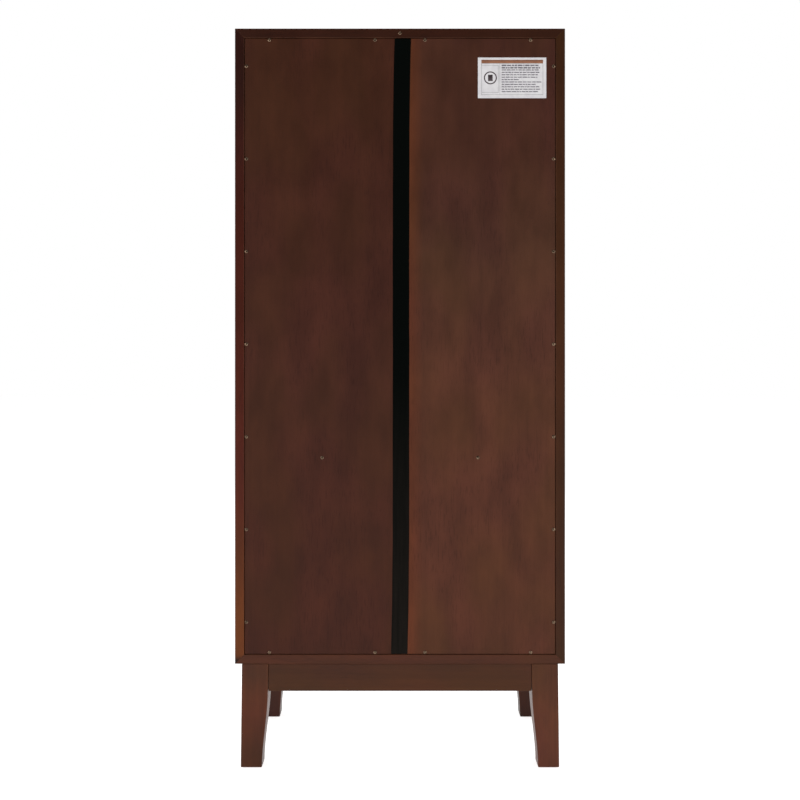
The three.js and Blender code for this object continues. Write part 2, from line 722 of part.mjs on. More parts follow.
/** The whole cabinet, set back by half of what the knobs stand out, so that it is centred. */
function cabinet() {
  const whole = new THREE.Group();
  whole.position.y = KNOB_PROJECTION / 2;
  const leftHalf = mirrored(-1, 1);
  addCarcass(whole, leftHalf);
  addBack(whole, leftHalf);
  addBase(whole);
  addShelves(whole);
  addDoor(whole, "right");
  addDoor(leftHalf, "left");
  whole.add(leftHalf);
  const root = new THREE.Group();
  root.add(whole);
  return root;
}

export default cabinet();
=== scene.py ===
"""Looks of a tall dark shoe cabinet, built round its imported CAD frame.

The cabinet has its back to the camera: two thin panels in a mitred frame, a vinyl tape over their
seam, a small label, and a row of screws all round. Everything is in metres, +Z up. The doors face
-Y and the back faces +Y. Left and right are those of someone who faces the doors.
"""

from __future__ import annotations

import logging
import math
from dataclasses import dataclass, field
from enum import Enum
from typing import Callable, Sequence, Union

import bmesh
import bpy
import numpy as np
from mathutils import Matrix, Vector
from numpy.typing import NDArray


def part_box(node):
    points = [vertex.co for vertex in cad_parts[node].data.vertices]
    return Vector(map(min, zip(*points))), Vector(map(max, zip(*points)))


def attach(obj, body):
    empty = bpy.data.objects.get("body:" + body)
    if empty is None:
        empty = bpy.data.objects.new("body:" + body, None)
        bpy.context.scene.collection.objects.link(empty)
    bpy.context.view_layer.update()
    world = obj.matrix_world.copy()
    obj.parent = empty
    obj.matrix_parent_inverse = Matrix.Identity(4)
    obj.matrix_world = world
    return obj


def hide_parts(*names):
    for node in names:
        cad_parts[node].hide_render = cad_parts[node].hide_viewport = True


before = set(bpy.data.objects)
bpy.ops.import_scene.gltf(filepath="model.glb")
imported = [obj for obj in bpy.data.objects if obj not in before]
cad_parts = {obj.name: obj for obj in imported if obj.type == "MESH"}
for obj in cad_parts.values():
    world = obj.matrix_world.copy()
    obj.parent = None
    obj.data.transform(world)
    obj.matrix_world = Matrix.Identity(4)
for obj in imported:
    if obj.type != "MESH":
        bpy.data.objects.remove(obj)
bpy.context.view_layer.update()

LOG = logging.getLogger("shoe_cabinet")
MM = 0.001
CABINET = "cabinet"
SMALLEST_RADIUS = 0.05 * MM
WAVE_LENGTH = 0.314  # a Wave texture at scale 1 repeats after this many metres

# A screw head's rings and the arm and slot of its recess are shares of its radius, and the
# recess's depth is a share of its height.
HEAD_RINGS = (1.0, 1.0, 0.96, 0.85, 0.66, 0.48, 0.36, 0.24, 0.12, 0.03)
RECESS_ARM, RECESS_SLOT, RECESS_DEPTH = 0.62, 0.17, 0.45

# The knob's outline from its base to its cap, as shares of its radius and its reach.
KNOB_PROFILE = (
    *((0.6, 0.0), (0.6, 0.05), (0.56, 0.1), (0.42, 0.2), (0.38, 0.32), (0.42, 0.42)),
    *((0.72, 0.52), (0.96, 0.62), (1.0, 0.7), (0.97, 0.79), (0.82, 0.9)),
    *((0.5, 0.975), (0.2, 0.998), (0.01, 1.0)),
)

Points = NDArray[np.float64]
Tones = tuple[tuple[float, str], ...]
Material = bpy.types.Material
Tree = bpy.types.NodeTree
Socket = bpy.types.NodeSocket
Value = Union[float, Sequence[float], Socket]
Inputs = dict[Union[int, str], Value]


class Side(Enum):
    """The two halves of the cabinet, with the sign of their X."""

    RIGHT = 1
    LEFT = -1

    @property
    def word(self) -> str:
        """The side's name as the CAD nodes write it."""
        return self.name.lower()

    @property
    def door(self) -> str:
        """The body of the door on this side."""
        return f"{self.word}_door"


class Grain(Enum):
    """The direction that the fibres of a board run in."""

    ALONG_X = 0
    ALONG_Y = 1
    ALONG_Z = 2


# ---- Surfaces ------------------------------------------------------------------------------------


@dataclass
class Surface:
    """Points with their faces, and how worn and painted highlit each point is, from 0 to 1."""

    points: Points
    faces: list[list[int]]
    wear_and_highlight: Points

    def placed(self, origin: Sequence[float], axes: Sequence[Sequence[float]]) -> Surface:
        """Carries the surface into the cabinet.

        Args:
            origin: where the surface's own origin goes.
            axes: what its first, second and third coordinates become.

        Returns:
            The same faces at origin plus the coordinates times the axes.
        """
        points = np.asarray(origin, float) + self.points @ np.asarray(axes, float)
        return Surface(points, self.faces, self.wear_and_highlight)


def joined(surfaces: Sequence[Surface]) -> Surface:
    """Several surfaces as one, each with its face numbers moved past the ones before it.

    Args:
        surfaces: what is put together.

    Returns:
        One surface with all their points and faces, in that order.
    """
    starts = np.cumsum([0] + [len(s.points) for s in surfaces[:-1]])
    faces = [[i + int(n) for i in f] for s, n in zip(surfaces, starts) for f in s.faces]
    points = np.concatenate([s.points for s in surfaces])
    return Surface(points, faces, np.concatenate([s.wear_and_highlight for s in surfaces]))


def carried(rings: Points, wear_and_highlight: Points) -> Surface:
    """A closed shape from rings of points: quads between neighbours and a face over each end.

    Args:
        rings: stations x points round x 3.
        wear_and_highlight: how worn and painted highlit each of those points is.

    Returns:
        The surface, whose quad k joins points k and k + 1 of a ring to the next ring's.
    """
    stations, around = rings.shape[:2]
    row = np.arange(stations - 1)[:, None] * around
    column = np.arange(around)[None, :]
    after = (column + 1) % around
    quads = np.stack([row + column, row + after, row + around + after, row + around + column], -1)
    first = np.arange(around)[::-1]
    last = (stations - 1) * around + np.arange(around)
    faces = quads.reshape(-1, 4).tolist() + [first.tolist(), last.tolist()]
    return Surface(rings.reshape(-1, 3), faces, wear_and_highlight.reshape(-1))


def inset(corners: Points, distance: Points) -> Points:
    """An anticlockwise outline moved inwards.

    Each corner moves by distance times (n1 + n2) / (1 + n1.n2), where n1 and n2 are the inward
    normals of its two sides.

    Args:
        corners: any number of outlines, ... x corners x 2.
        distance: how far each outline moves, broadcast against the corners.

    Returns:
        The moved outlines, in the same shape.
    """
    along = np.roll(corners, -1, -2) - corners
    along = along / np.linalg.norm(along, axis=-1, keepdims=True)
    ahead = np.stack([-along[..., 1], along[..., 0]], -1)
    behind = np.roll(ahead, 1, -2)
    spread = 1.0 + (ahead * behind).sum(-1, keepdims=True)
    return corners + distance * (ahead + behind) / spread


def rounded(corners: Points, radii: Points, steps: int) -> tuple[Points, Points]:
    """Outlines with each corner turned into a curve.

    A corner C with tangent points A and B at its radius along both sides becomes
    (1-t)^2 A + 2t(1-t) C + t^2 B, and its wear and painted highlight is sin(pi t), most in the
    middle of the curve.

    Args:
        corners: outlines, ... x corners x 2.
        radii: one for each corner.
        steps: how many pieces each curve has.

    Returns:
        The outlines, ... x points x 2, and the wear and painted highlight of each point.
    """
    before = np.roll(corners, 1, -2) - corners
    after = np.roll(corners, -1, -2) - corners
    reach = radii[..., None]
    start = corners + reach * before / np.linalg.norm(before, axis=-1, keepdims=True)
    end = corners + reach * after / np.linalg.norm(after, axis=-1, keepdims=True)
    t = np.linspace(0.0, 1.0, steps + 1)[:, None]
    start, middle, end = (a[..., None, :] for a in (start, corners, end))
    curve = (1 - t) ** 2 * start + 2 * t * (1 - t) * middle + t**2 * end
    points = curve.reshape(*corners.shape[:-2], -1, 2)
    wear_and_highlight = np.broadcast_to(np.sin(np.pi * t[:, 0]), curve.shape[:-1])
    return points, wear_and_highlight.reshape(points.shape[:-1])


def quarter(radius: float, steps: int) -> tuple[Points, Points, Points]:
    """A quarter circle that eases the end of a board.

    At the angle a from 0 to 90 degrees the outline is inset by radius (1 - sin a), and lies
    radius (1 - cos a) in from the end.

    Args:
        radius: the quarter circle's radius.
        steps: how many pieces it has.

    Returns:
        The insets, how far in they lie, and their wear and painted highlight, which is sin 2a.
    """
    angle = np.linspace(0.0, math.pi / 2, steps + 1)
    return radius * (1 - np.sin(angle)), radius * (1 - np.cos(angle)), np.sin(2 * angle)


@dataclass(frozen=True)
class Board:
    """A straight board, as a section carried along its length.

    The section is in depth and width, and the third coordinate is along the board.
    """

    corners: Points
    low: float
    high: float
    ease: float = 1.0 * MM
    end_ease: float = 1.0 * MM
    mitre: float = 0.0
    steps: int = 3

    def surface(self) -> Surface:
        """The section at each end's stations, eased, with an end cut along low + mitre x depth.

        Returns:
            The closed surface.
        """
        shrink, back, worn_and_highlit = quarter(self.end_ease, self.steps)
        shrinks = np.concatenate([shrink, shrink[::-1]])
        corners = inset(self.corners[None], shrinks[:, None, None])
        radii = np.maximum(self.ease - shrinks, SMALLEST_RADIUS)[:, None]
        radii = np.broadcast_to(radii, corners.shape[:-1])
        loops, wear_and_highlight = rounded(corners, radii, self.steps)
        slope = self.mitre * loops[..., 0]
        near, far = np.split(slope, 2)
        along = np.concatenate(
            [self.low + back[:, None] + near, self.high - back[::-1, None] - far]
        )
        # The eased ends are paler too: partly rubbed wear and partly a painted highlight.
        ends = np.concatenate([worn_and_highlit, worn_and_highlit[::-1]])[:, None]
        return carried(np.dstack([loops, along]), np.maximum(wear_and_highlight, ends))


def oblong(depth_low: float, depth_high: float, width_low: float, width_high: float) -> Points:
    """The four corners of an oblong section, anticlockwise.

    Args:
        depth_low: its lowest first coordinate.
        depth_high: its highest first coordinate.
        width_low: its lowest second coordinate.
        width_high: its highest second coordinate.

    Returns:
        Corners x 2.
    """
    return np.array(
        [
            [depth_low, width_low],
            [depth_high, width_low],
            [depth_high, width_high],
            [depth_low, width_high],
        ]
    )


def smooth_line(points: Sequence[Sequence[float]], steps: int) -> Points:
    """A smooth line through points: a Catmull-Rom curve with its ends repeated.

    Between b and c, with a before them and d after, a point is half of
    2b + (c - a) t + (2a - 5b + 4c - d) t^2 + (3b - a - 3c + d) t^3, where t runs from 0 to 1.

    Args:
        points: what the line passes through.
        steps: how many points each stretch gets.

    Returns:
        The line's points x 2.
    """
    p = np.asarray(points, float)
    p = np.concatenate([p[:1], p, p[-1:]])
    a, b, c, d = p[:-3, None], p[1:-2, None], p[2:-1, None], p[3:, None]
    t = np.linspace(0.0, 1.0, steps, endpoint=False)[None, :, None]
    bend = (2 * a - 5 * b + 4 * c - d) * t**2 + (3 * b - a - 3 * c + d) * t**3
    line = 0.5 * (2 * b + (c - a) * t + bend)
    return np.concatenate([line.reshape(-1, 2), p[-1:]])


def turned(profile: Points, around: int) -> Surface:
    """A turned shape: each (radius, height) of the profile becomes a ring about the third axis.

    Args:
        profile: radii and heights, from one end to the other.
        around: how many points a ring has.

    Returns:
        The closed surface, whose points are radius cos a, radius sin a and height.
    """
    angle = np.linspace(0.0, 2 * math.pi, around, endpoint=False)
    radius = np.maximum(profile[:, 0], SMALLEST_RADIUS)[:, None]
    height = np.broadcast_to(profile[:, 1:2], (len(profile), around))
    rings = np.dstack([radius * np.cos(angle), radius * np.sin(angle), height])
    return carried(rings, np.zeros(rings.shape[:2]))


def cross_head(radius: float, height: float, around: int = 20) -> Surface:
    """A pan head with a cross recess, its seat at height 0.

    The rim rises straight to a third of the height. Above it the head is the dome
    height (1/3 + 2/3 sqrt(1 - q^2)), where q is the share of the radius, less the recess depth
    inside the cross |x| < slot and |y| < arm, or the same with x and y exchanged.

    Args:
        radius: the head's radius.
        height: its height at the middle.
        around: how many points a ring has.

    Returns:
        The closed surface.
    """
    share = np.array(HEAD_RINGS)
    angle = np.linspace(0.0, 2 * math.pi, around, endpoint=False)
    x = share[:, None] * np.cos(angle)
    y = share[:, None] * np.sin(angle)
    dome = height * (1 / 3 + 2 / 3 * np.sqrt(np.maximum(1 - share**2, 0.0)))[:, None]
    across = (np.abs(x) < RECESS_SLOT) & (np.abs(y) < RECESS_ARM)
    upright = (np.abs(y) < RECESS_SLOT) & (np.abs(x) < RECESS_ARM)
    z = dome - RECESS_DEPTH * height * (across | upright)
    z[0] = 0.0
    rings = np.dstack([radius * x, radius * y, z])
    return carried(rings, np.zeros(z.shape))


# ---- Nodes and colours ---------------------------------------------------------------------------


def linear(colour: str) -> tuple[float, float, float, float]:
    """Turns an sRGB colour to amounts of light.

    Args:
        colour: the colour as #rrggbb.

    Returns:
        Its linear red, green and blue, and an alpha of 1.
    """
    srgb = np.array([int(colour[i : i + 2], 16) for i in (1, 3, 5)]) / 255.0
    light = np.where(srgb <= 0.04045, srgb / 12.92, ((srgb + 0.055) / 1.055) ** 2.4)
    return (*light.tolist(), 1.0)


def add_node(tree: Tree, kind: str, inputs: Inputs, **settings: str) -> bpy.types.Node:
    """Adds one shader node.

    Args:
        tree: where it goes.
        kind: its type name, less ShaderNode.
        inputs: for each socket's name or number, a value or the output that feeds it.
        settings: the node's own properties.

    Returns:
        The node.
    """
    node = tree.nodes.new(f"ShaderNode{kind}")
    for name, value in settings.items():
        setattr(node, name, value)
    for socket, value in inputs.items():
        if isinstance(value, bpy.types.NodeSocket):
            tree.links.new(value, node.inputs[socket])
        else:
            node.inputs[socket].default_value = value
    return node


def empty_material(name: str) -> tuple[Material, Tree]:
    """Starts a material.

    Args:
        name: the material's name.

    Returns:
        The material and its nodes, of which there are none yet.
    """
    material = bpy.data.materials.new(name)
    material.use_nodes = True
    tree = material.node_tree
    tree.nodes.clear()
    return material, tree


def close_material(tree: Tree, inputs: Inputs) -> None:
    """Ends a material with a Principled shader on its output.

    Args:
        tree: the material's nodes.
        inputs: what is set on the shader's sockets or feeds them.
    """
    shader = add_node(tree, "BsdfPrincipled", inputs)
    add_node(tree, "OutputMaterial", {"Surface": shader.outputs[0]})


# ---- Finishes ------------------------------------------------------------------------------------


@dataclass(frozen=True)
class StainedWood:
    """Rift-sawn hardwood or its veneer, wiped with a dark stain and sprayed with satin lacquer.

    The stain takes unevenly, so it lies in soft clouds, some olive and some red. It pools in the
    open pores, which come in patches, and draws them as short dark strokes. The cut runs along
    the growth rings, so they show only as faint straight streaks of uneven width. The lacquer is
    paler along the eased edges, partly rubbed wear and partly a painted highlight.
    """

    name: str
    # Its tones by height are painted light and shade: mostly paler low down, where the floor lights
    # the wood.
    tones: Tones
    grain: Grain = Grain.ALONG_Z
    shift: tuple[float, float, float] = (0.0, 0.0, 0.0)
    tilt: float = math.radians(0.6)

    # A rear edge has its own tones past edge_start on Y: painted light and shade that set it apart
    # from the face. The warm tone fades out over warm_reach from the seam on X.
    edge_painted_light: Tones = ()
    edge_start: tuple[float, float] = (0.1978, 0.1988)
    # The pale edge colour: partly rubbed wear and partly a painted highlight.
    rubbed_and_highlit: str = "#5d3823"
    streak_contrast: float = 0.09
    pore_contrast: float = 0.22
    cloud_contrast: float = 0.10
    band_contrast: float = 0.07
    roughness: float = 0.42
    specular: float = 0.15
    relief: float = 0.05 * MM
    relief_strength: float = 0.35
    warm_edge: float = 0.0
    warm_reach: tuple[float, float] = (0.018, 0.05)
    warm: str = "#5e2c12"

    # Streaks are about 10 mm wide and run for half a metre. Pores are 0.3 mm wide and 6 mm long;
    # they are drawn 2.2 mm wide and 24 mm long, so that they show across a room. Clouds of stain
    # are about 45 mm wide and 100 mm long, bands 80 mm wide, and tints 110 mm wide.
    streaks: tuple[float, float] = (1 / 0.010, 1 / 0.5)
    pores: tuple[float, float] = (1 / 0.0022, 1 / 0.024)
    clouds: tuple[float, float] = (1 / 0.045, 1 / 0.10)
    bands: tuple[float, float] = (1 / 0.08, 1 / 0.9)
    tints: tuple[float, float] = (1 / 0.11, 1 / 0.22)
    olive: tuple[float, float, float] = (0.98, 1.02, 0.9)
    red: tuple[float, float, float] = (1.03, 0.97, 1.06)

    def layer(self, tree: Tree, place: Socket, size: tuple[float, float], detail: float) -> Socket:
        """One layer of the wood's unevenness, as noise drawn out along the grain.

        Args:
            tree: the material's nodes.
            place: the coordinates.
            size: its patterns per metre, across and along the grain.
            detail: how many finer layers it holds.

        Returns:
            The noise, most of it between 0.3 and 0.7.
        """
        scale = [size[0]] * 3
        scale[self.grain.value] = size[1]
        vector = add_node(tree, "Mapping", {"Vector": place, "Scale": scale}).outputs[0]
        sockets = {"Vector": vector, "Scale": 1.0, "Detail": detail}
        return add_node(tree, "TexNoise", sockets).outputs["Fac"]

    def ramp(self, tree: Tree, height: Socket, tones: Tones) -> Socket:
        """A colour that runs from one tone to the next with the height.

        Args:
            tree: the material's nodes.
            height: the height in metres.
            tones: heights in metres with their colours, from the lowest up.

        Returns:
            The colour.
        """
        low, high = tones[0][0], tones[-1][0] + MM
        share = add_node(tree, "MapRange", {0: height, 1: low, 2: high}).outputs[0]
        ramp = add_node(tree, "ValToRGB", {0: share})
        stops = ramp.color_ramp.elements
        for place, colour in tones[1:]:
            stops.new((place - low) / (high - low)).color = linear(colour)
        stops[0].color = linear(tones[0][1])
        stops.remove(stops[-1])
        return ramp.outputs[0]

    def tone(self, tree: Tree, place: Socket) -> Socket:
        """The stain's colour by height, which is painted light and shade.

        A rear edge has its own painted light and shade, and the wood is warmer by the seam.

        Args:
            tree: the material's nodes.
            place: the coordinates.

        Returns:
            The colour.
        """
        axes = add_node(tree, "SeparateXYZ", {0: place}).outputs
        tone = self.ramp(tree, axes["Z"], self.tones)
        if self.edge_painted_light:
            low, high = self.edge_start
            behind = add_node(tree, "MapRange", {0: axes["Y"], 1: low, 2: high}).outputs[0]
            edge = self.ramp(tree, axes["Z"], self.edge_painted_light)
            tone = add_node(
                tree, "Mix", {0: behind, 6: tone, 7: edge}, data_type="RGBA"
            ).outputs[2]
        if self.warm_edge > 0:
            low, high = self.warm_reach
            away = add_node(tree, "Math", {0: axes["X"]}, operation="ABSOLUTE").outputs[0]
            reach = {0: away, 1: low, 2: high, 3: self.warm_edge, 4: 0.0}
            near = add_node(tree, "MapRange", reach).outputs[0]
            tone = add_node(
                tree, "Mix", {0: near, 6: tone, 7: linear(self.warm)}, data_type="RGBA"
            ).outputs[2]
        return tone

    def material(self) -> Material:
        """Builds the material, with the grain tilted a little against the board.

        The stain's tone is multiplied by the tint and by each layer's own factor, and then gives
        way to the pale edge colour on the eased edges, partly rubbed wear and partly a painted
        highlight. The pores are sunk by the relief.

        Returns:
            The material.
        """
        material, tree = empty_material(self.name)
        place = add_node(tree, "TexCoord", {}).outputs["Object"]
        turn = [self.tilt] * 3
        turn[self.grain.value] = 0.0
        moves = {"Vector": place, "Location": self.shift, "Rotation": turn}
        own = add_node(tree, "Mapping", moves).outputs[0]
        streaks = self.layer(tree, own, self.streaks, 3.0)
        clouds = self.layer(tree, own, self.clouds, 4.0)
        bands = self.layer(tree, own, self.bands, 1.0)
        patches = self.layer(tree, own, self.tints, 1.0)
        pores = self.layer(tree, own, self.pores, 3.0)

        dark = add_node(tree, "MapRange", {0: pores, 1: 0.54, 2: 0.66}).outputs[0]
        often = {0: patches, 1: 0.42, 2: 0.6, 3: 0.25, 4: 1.0}
        often = add_node(tree, "MapRange", often).outputs[0]
        strokes = add_node(tree, "Math", {0: dark, 1: often}, operation="MULTIPLY").outputs[0]

        factors = [
            add_node(tree, "MapRange", {0: layer, 1: low, 2: high, 3: first, 4: last}).outputs[0]
            for layer, low, high, first, last in (
                (streaks, 0.32, 0.68, 1 - self.streak_contrast, 1 + self.streak_contrast),
                (clouds, 0.32, 0.68, 1 - self.cloud_contrast, 1 + self.cloud_contrast),
                (bands, 0.35, 0.65, 1 - self.band_contrast, 1 + self.band_contrast),
                (strokes, 0.0, 1.0, 1.0, 1 - self.pore_contrast),
            )
        ]
        shade = factors[0]
        for factor in factors[1:]:
            both = {0: shade, 1: factor}
            shade = add_node(tree, "Math", both, operation="MULTIPLY").outputs[0]

        share = add_node(tree, "MapRange", {0: patches, 1: 0.38, 2: 0.62}).outputs[0]
        tints = {0: share, 6: (*self.olive, 1.0), 7: (*self.red, 1.0)}
        tint = add_node(tree, "Mix", tints, data_type="RGBA").outputs[2]
        stain = {0: self.tone(tree, place), 1: tint}
        stain = add_node(tree, "VectorMath", stain, operation="MULTIPLY").outputs[0]
        body = add_node(tree, "VectorMath", {0: stain, 3: shade}, operation="SCALE").outputs[0]

        # Paler along the eased edges: partly rubbed wear and partly a painted highlight.
        wear_and_highlight = add_node(tree, "Attribute", {}, attribute_name="wear_and_highlight").outputs["Fac"]
        patchy = {0: clouds, 1: 0.35, 2: 0.65, 3: 0.1, 4: 0.6}
        patchy = add_node(tree, "MapRange", patchy).outputs[0]
        wear_and_highlight_share = add_node(tree, "Math", {0: wear_and_highlight, 1: patchy}, operation="MULTIPLY").outputs[0]
        worn_and_highlit = {0: wear_and_highlight_share, 6: body, 7: linear(self.rubbed_and_highlit)}
        gloss = {0: clouds, 1: 0.3, 2: 0.7, 3: self.roughness - 0.04, 4: self.roughness + 0.06}
        sunk = add_node(tree, "Math", {0: strokes, 1: -1.0}, operation="MULTIPLY").outputs[0]
        bump = {"Strength": self.relief_strength, "Distance": self.relief, "Height": sunk}
        close_material(
            tree,
            {
                "Base Color": add_node(tree, "Mix", worn_and_highlit, data_type="RGBA").outputs[2],
                "Roughness": add_node(tree, "MapRange", gloss).outputs[0],
                "Normal": add_node(tree, "Bump", bump).outputs[0],
                "Specular IOR Level": self.specular,
            },
        )
        return material


@dataclass(frozen=True)
class RawSoftwood:
    """Sawn pine without a finish: pale, dry and a little furry, with broad soft rings."""

    name: str = "raw_softwood"
    pale: str = "#b8915f"
    late: str = "#8f6438"
    grain: Grain = Grain.ALONG_Z
    ring: float = 5 * MM
    saw_mark: float = 3 * MM
    roughness: float = 0.85

    def material(self) -> Material:
        """Builds the material: rings ten times as long as wide, and saw marks in the bump.

        Returns:
            The material.
        """
        material, tree = empty_material(self.name)
        place = add_node(tree, "TexCoord", {}).outputs["Object"]
        scale = [1.0, 1.0, 1.0]
        scale[self.grain.value] = 0.1
        rings = {
            "Vector": add_node(tree, "Mapping", {"Vector": place, "Scale": scale}).outputs[0],
            "Scale": WAVE_LENGTH / self.ring,
            "Distortion": 4.0,
            "Detail": 2.0,
        }
        ring = add_node(tree, "TexWave", rings, wave_type="RINGS", rings_direction="X")
        marks = {"Vector": place, "Scale": 1 / self.saw_mark, "Detail": 3.0}
        mark = add_node(tree, "TexNoise", marks).outputs["Fac"]
        bump = {"Strength": 0.5, "Distance": 0.2 * MM, "Height": mark}
        wood = {0: ring.outputs["Fac"], 6: linear(self.pale), 7: linear(self.late)}
        close_material(
            tree,
            {
                "Base Color": add_node(tree, "Mix", wood, data_type="RGBA").outputs[2],
                "Roughness": self.roughness,
                "Normal": add_node(tree, "Bump", bump).outputs[0],
            },
        )
        return material


@dataclass(frozen=True)
class Metal:
    """Plated or patinated metal, drawn or turned: fine scratches blur what it mirrors."""

    name: str
    colour: str
    dull: str
    roughness: float = 0.3
    cloud: float = 10 * MM
    scratch: float = 1.2 * MM

    def material(self) -> Material:
        """Builds the material: soft clouds of patina, and scratches in the gloss and the bump.

        Returns:
            The material.
        """
        material, tree = empty_material(self.name)
        place = add_node(tree, "TexCoord", {}).outputs["Object"]
        cloud = {"Vector": place, "Scale": 1 / self.cloud, "Detail": 3.0}
        patina = {0: add_node(tree, "TexNoise", cloud).outputs["Fac"], 1: 0.4, 2: 0.65}
        fine = {"Vector": place, "Scale": 1 / self.scratch, "Detail": 2.0}
        scratches = add_node(tree, "TexNoise", fine).outputs["Fac"]
        tones = {
            0: add_node(tree, "MapRange", patina).outputs[0],
            6: linear(self.colour),
            7: linear(self.dull),
        }
        blur = {0: scratches, 1: 0.3, 2: 0.7, 3: self.roughness - 0.08, 4: self.roughness + 0.12}
        bump = {"Strength": 0.2, "Distance": 0.05 * MM, "Height": scratches}
        close_material(
            tree,
            {
                "Base Color": add_node(tree, "Mix", tones, data_type="RGBA").outputs[2],
                "Metallic": 1.0,
                "Roughness": add_node(tree, "MapRange", blur).outputs[0],
                "Normal": add_node(tree, "Bump", bump).outputs[0],
            },
        )
        return material


@dataclass(frozen=True)
class Plastic:
    """Moulded plastic with a fine spark-eroded grain that keeps it from shining."""

    name: str
    colour: str
    faded: str
    roughness: float = 0.5
    fade: float = 20 * MM
    grit: float = 1.5 * MM

    def material(self) -> Material:
        """Builds the material: a slight fade in clouds, and the grain in the bump.

        Returns:
            The material.
        """
        material, tree = empty_material(self.name)
        place = add_node(tree, "TexCoord", {}).outputs["Object"]
        cloud = {"Vector": place, "Scale": 1 / self.fade, "Detail": 2.0}
        fine = {"Vector": place, "Scale": 1 / self.grit, "Detail": 2.0}
        tones = {
            0: add_node(tree, "TexNoise", cloud).outputs["Fac"],
            6: linear(self.colour),
            7: linear(self.faded),
        }
        grain = add_node(tree, "TexNoise", fine).outputs["Fac"]
        bump = {"Strength": 0.3, "Distance": 0.05 * MM, "Height": grain}
        close_material(
            tree,
            {
                "Base Color": add_node(tree, "Mix", tones, data_type="RGBA").outputs[2],
                "Roughness": self.roughness,
                "Normal": add_node(tree, "Bump", bump).outputs[0],
            },
        )
        return material


@dataclass(frozen=True)
class RibbedVinyl:
    """Calendered black vinyl tape: matt, with fine ribs along its length and a paler lower end
    that is painted light from the floor.

    The ribs are drawn 3 mm apart, three times the real spacing, so that they show.
    """

    name: str = "ribbed_vinyl"
    base_black: str = "#010302"
    floor_lit: str = "#1b1714"
    height: tuple[float, float] = (0.25, 0.85)
    rib: float = 3 * MM
    light_blotch_width: float = 6 * MM
    light_blotch_length: float = 120 * MM
    roughness: float = 0.72
    specular: float = 0.03

    def material(self) -> Material:
        """Builds the material: ribs in the bump, and painted light from the floor that fades
        upwards.

        Returns:
            The material.
        """
        material, tree = empty_material(self.name)
        place = add_node(tree, "TexCoord", {}).outputs["Object"]
        ribs = {
            "Vector": place,
            "Scale": WAVE_LENGTH / self.rib,
            "Distortion": 0.6,
            "Detail": 2.0,
        }
        rib = add_node(tree, "TexWave", ribs, wave_type="BANDS", bands_direction="X")
        scale = [1 / self.light_blotch_width, 1 / self.light_blotch_width, 1 / self.light_blotch_length]
        vector = add_node(tree, "Mapping", {"Vector": place, "Scale": scale}).outputs[0]
        # Painted light: paler towards the foot of the tape, in uneven blotches.
        light_blotch = add_node(tree, "TexNoise", {"Vector": vector, "Scale": 1.0, "Detail": 4.0})
        uneven = {0: light_blotch.outputs["Fac"], 1: 0.3, 2: 0.7, 3: 0.55, 4: 1.0}
        up = add_node(tree, "SeparateXYZ", {0: place}).outputs["Z"]
        low = {0: up, 1: self.height[0], 2: self.height[1], 3: 1.0, 4: 0.0}
        both = {
            0: add_node(tree, "MapRange", low).outputs[0],
            1: add_node(tree, "MapRange", uneven).outputs[0],
        }
        share = add_node(tree, "Math", both, operation="MULTIPLY").outputs[0]
        tones = {0: share, 6: linear(self.base_black), 7: linear(self.floor_lit)}
        bump = {"Strength": 0.5, "Distance": 0.08 * MM, "Height": rib.outputs["Fac"]}
        close_material(
            tree,
            {
                "Base Color": add_node(tree, "Mix", tones, data_type="RGBA").outputs[2],
                "Roughness": self.roughness,
                "Specular IOR Level": self.specular,
                "Normal": add_node(tree, "Bump", bump).outputs[0],
            },
        )
        return material


@dataclass(frozen=True)
class Print:
    """Coated label paper, or ink printed on it: an even matt tone, a little cloudy."""

    name: str
    colour: str
    shade: str
    roughness: float = 0.6
    cloud: float = 12 * MM

    def material(self) -> Material:
        """Builds the material: the two tones mixed in clouds.

        Returns:
            The material.
        """
        material, tree = empty_material(self.name)
        place = add_node(tree, "TexCoord", {}).outputs["Object"]
        cloud = {"Vector": place, "Scale": 1 / self.cloud, "Detail": 4.0}
        share = {0: add_node(tree, "TexNoise", cloud).outputs["Fac"], 1: 0.35, 2: 0.65}
        tones = {
            0: add_node(tree, "MapRange", share).outputs[0],
            6: linear(self.colour),
            7: linear(self.shade),
        }
        colour = add_node(tree, "Mix", tones, data_type="RGBA").outputs[2]
        close_material(tree, {"Base Color": colour, "Roughness": self.roughness})
        return material


# ---- Pieces --------------------------------------------------------------------------------------


def shell_mesh(name: str, surface: Surface) -> bpy.types.Mesh:
    """A surface as a mesh, with its faces outwards.

    Args:
        name: the mesh's name.
        surface: its points, faces and how worn and painted highlit each point is.

    Returns:
        The mesh, with the wear and painted highlight values as its attribute.
    """
    mesh = bpy.data.meshes.new(name)
    mesh.from_pydata(surface.points.tolist(), [], surface.faces)
    wear_and_highlight = mesh.attributes.new("wear_and_highlight", "FLOAT", "POINT")
    wear_and_highlight.data.foreach_set("value", surface.wear_and_highlight.astype(np.float32))
    shell = bmesh.new()
    shell.from_mesh(mesh)
    if shell.calc_volume(signed=True) < 0:
        bmesh.ops.reverse_faces(shell, faces=shell.faces)
    shell.to_mesh(mesh)
    shell.free()
    return mesh


def drill(obj: bpy.types.Object, drills: Surface) -> None:
    """Cuts closed shapes out of a piece, and keeps the cut mesh in place of its own.

    Args:
        obj: the piece.
        drills: the closed shapes.
    """
    tool = bpy.data.objects.new("drills", shell_mesh("drills", drills))
    bpy.context.scene.collection.objects.link(tool)
    cut = obj.modifiers.new("drill", "BOOLEAN")
    cut.operation, cut.solver, cut.object = "DIFFERENCE", "EXACT", tool
    shape = obj.evaluated_get(bpy.context.evaluated_depsgraph_get())
    mesh = bpy.data.meshes.new_from_object(shape)
    obj.modifiers.clear()
    obj.data = mesh
    bpy.data.objects.remove(tool)


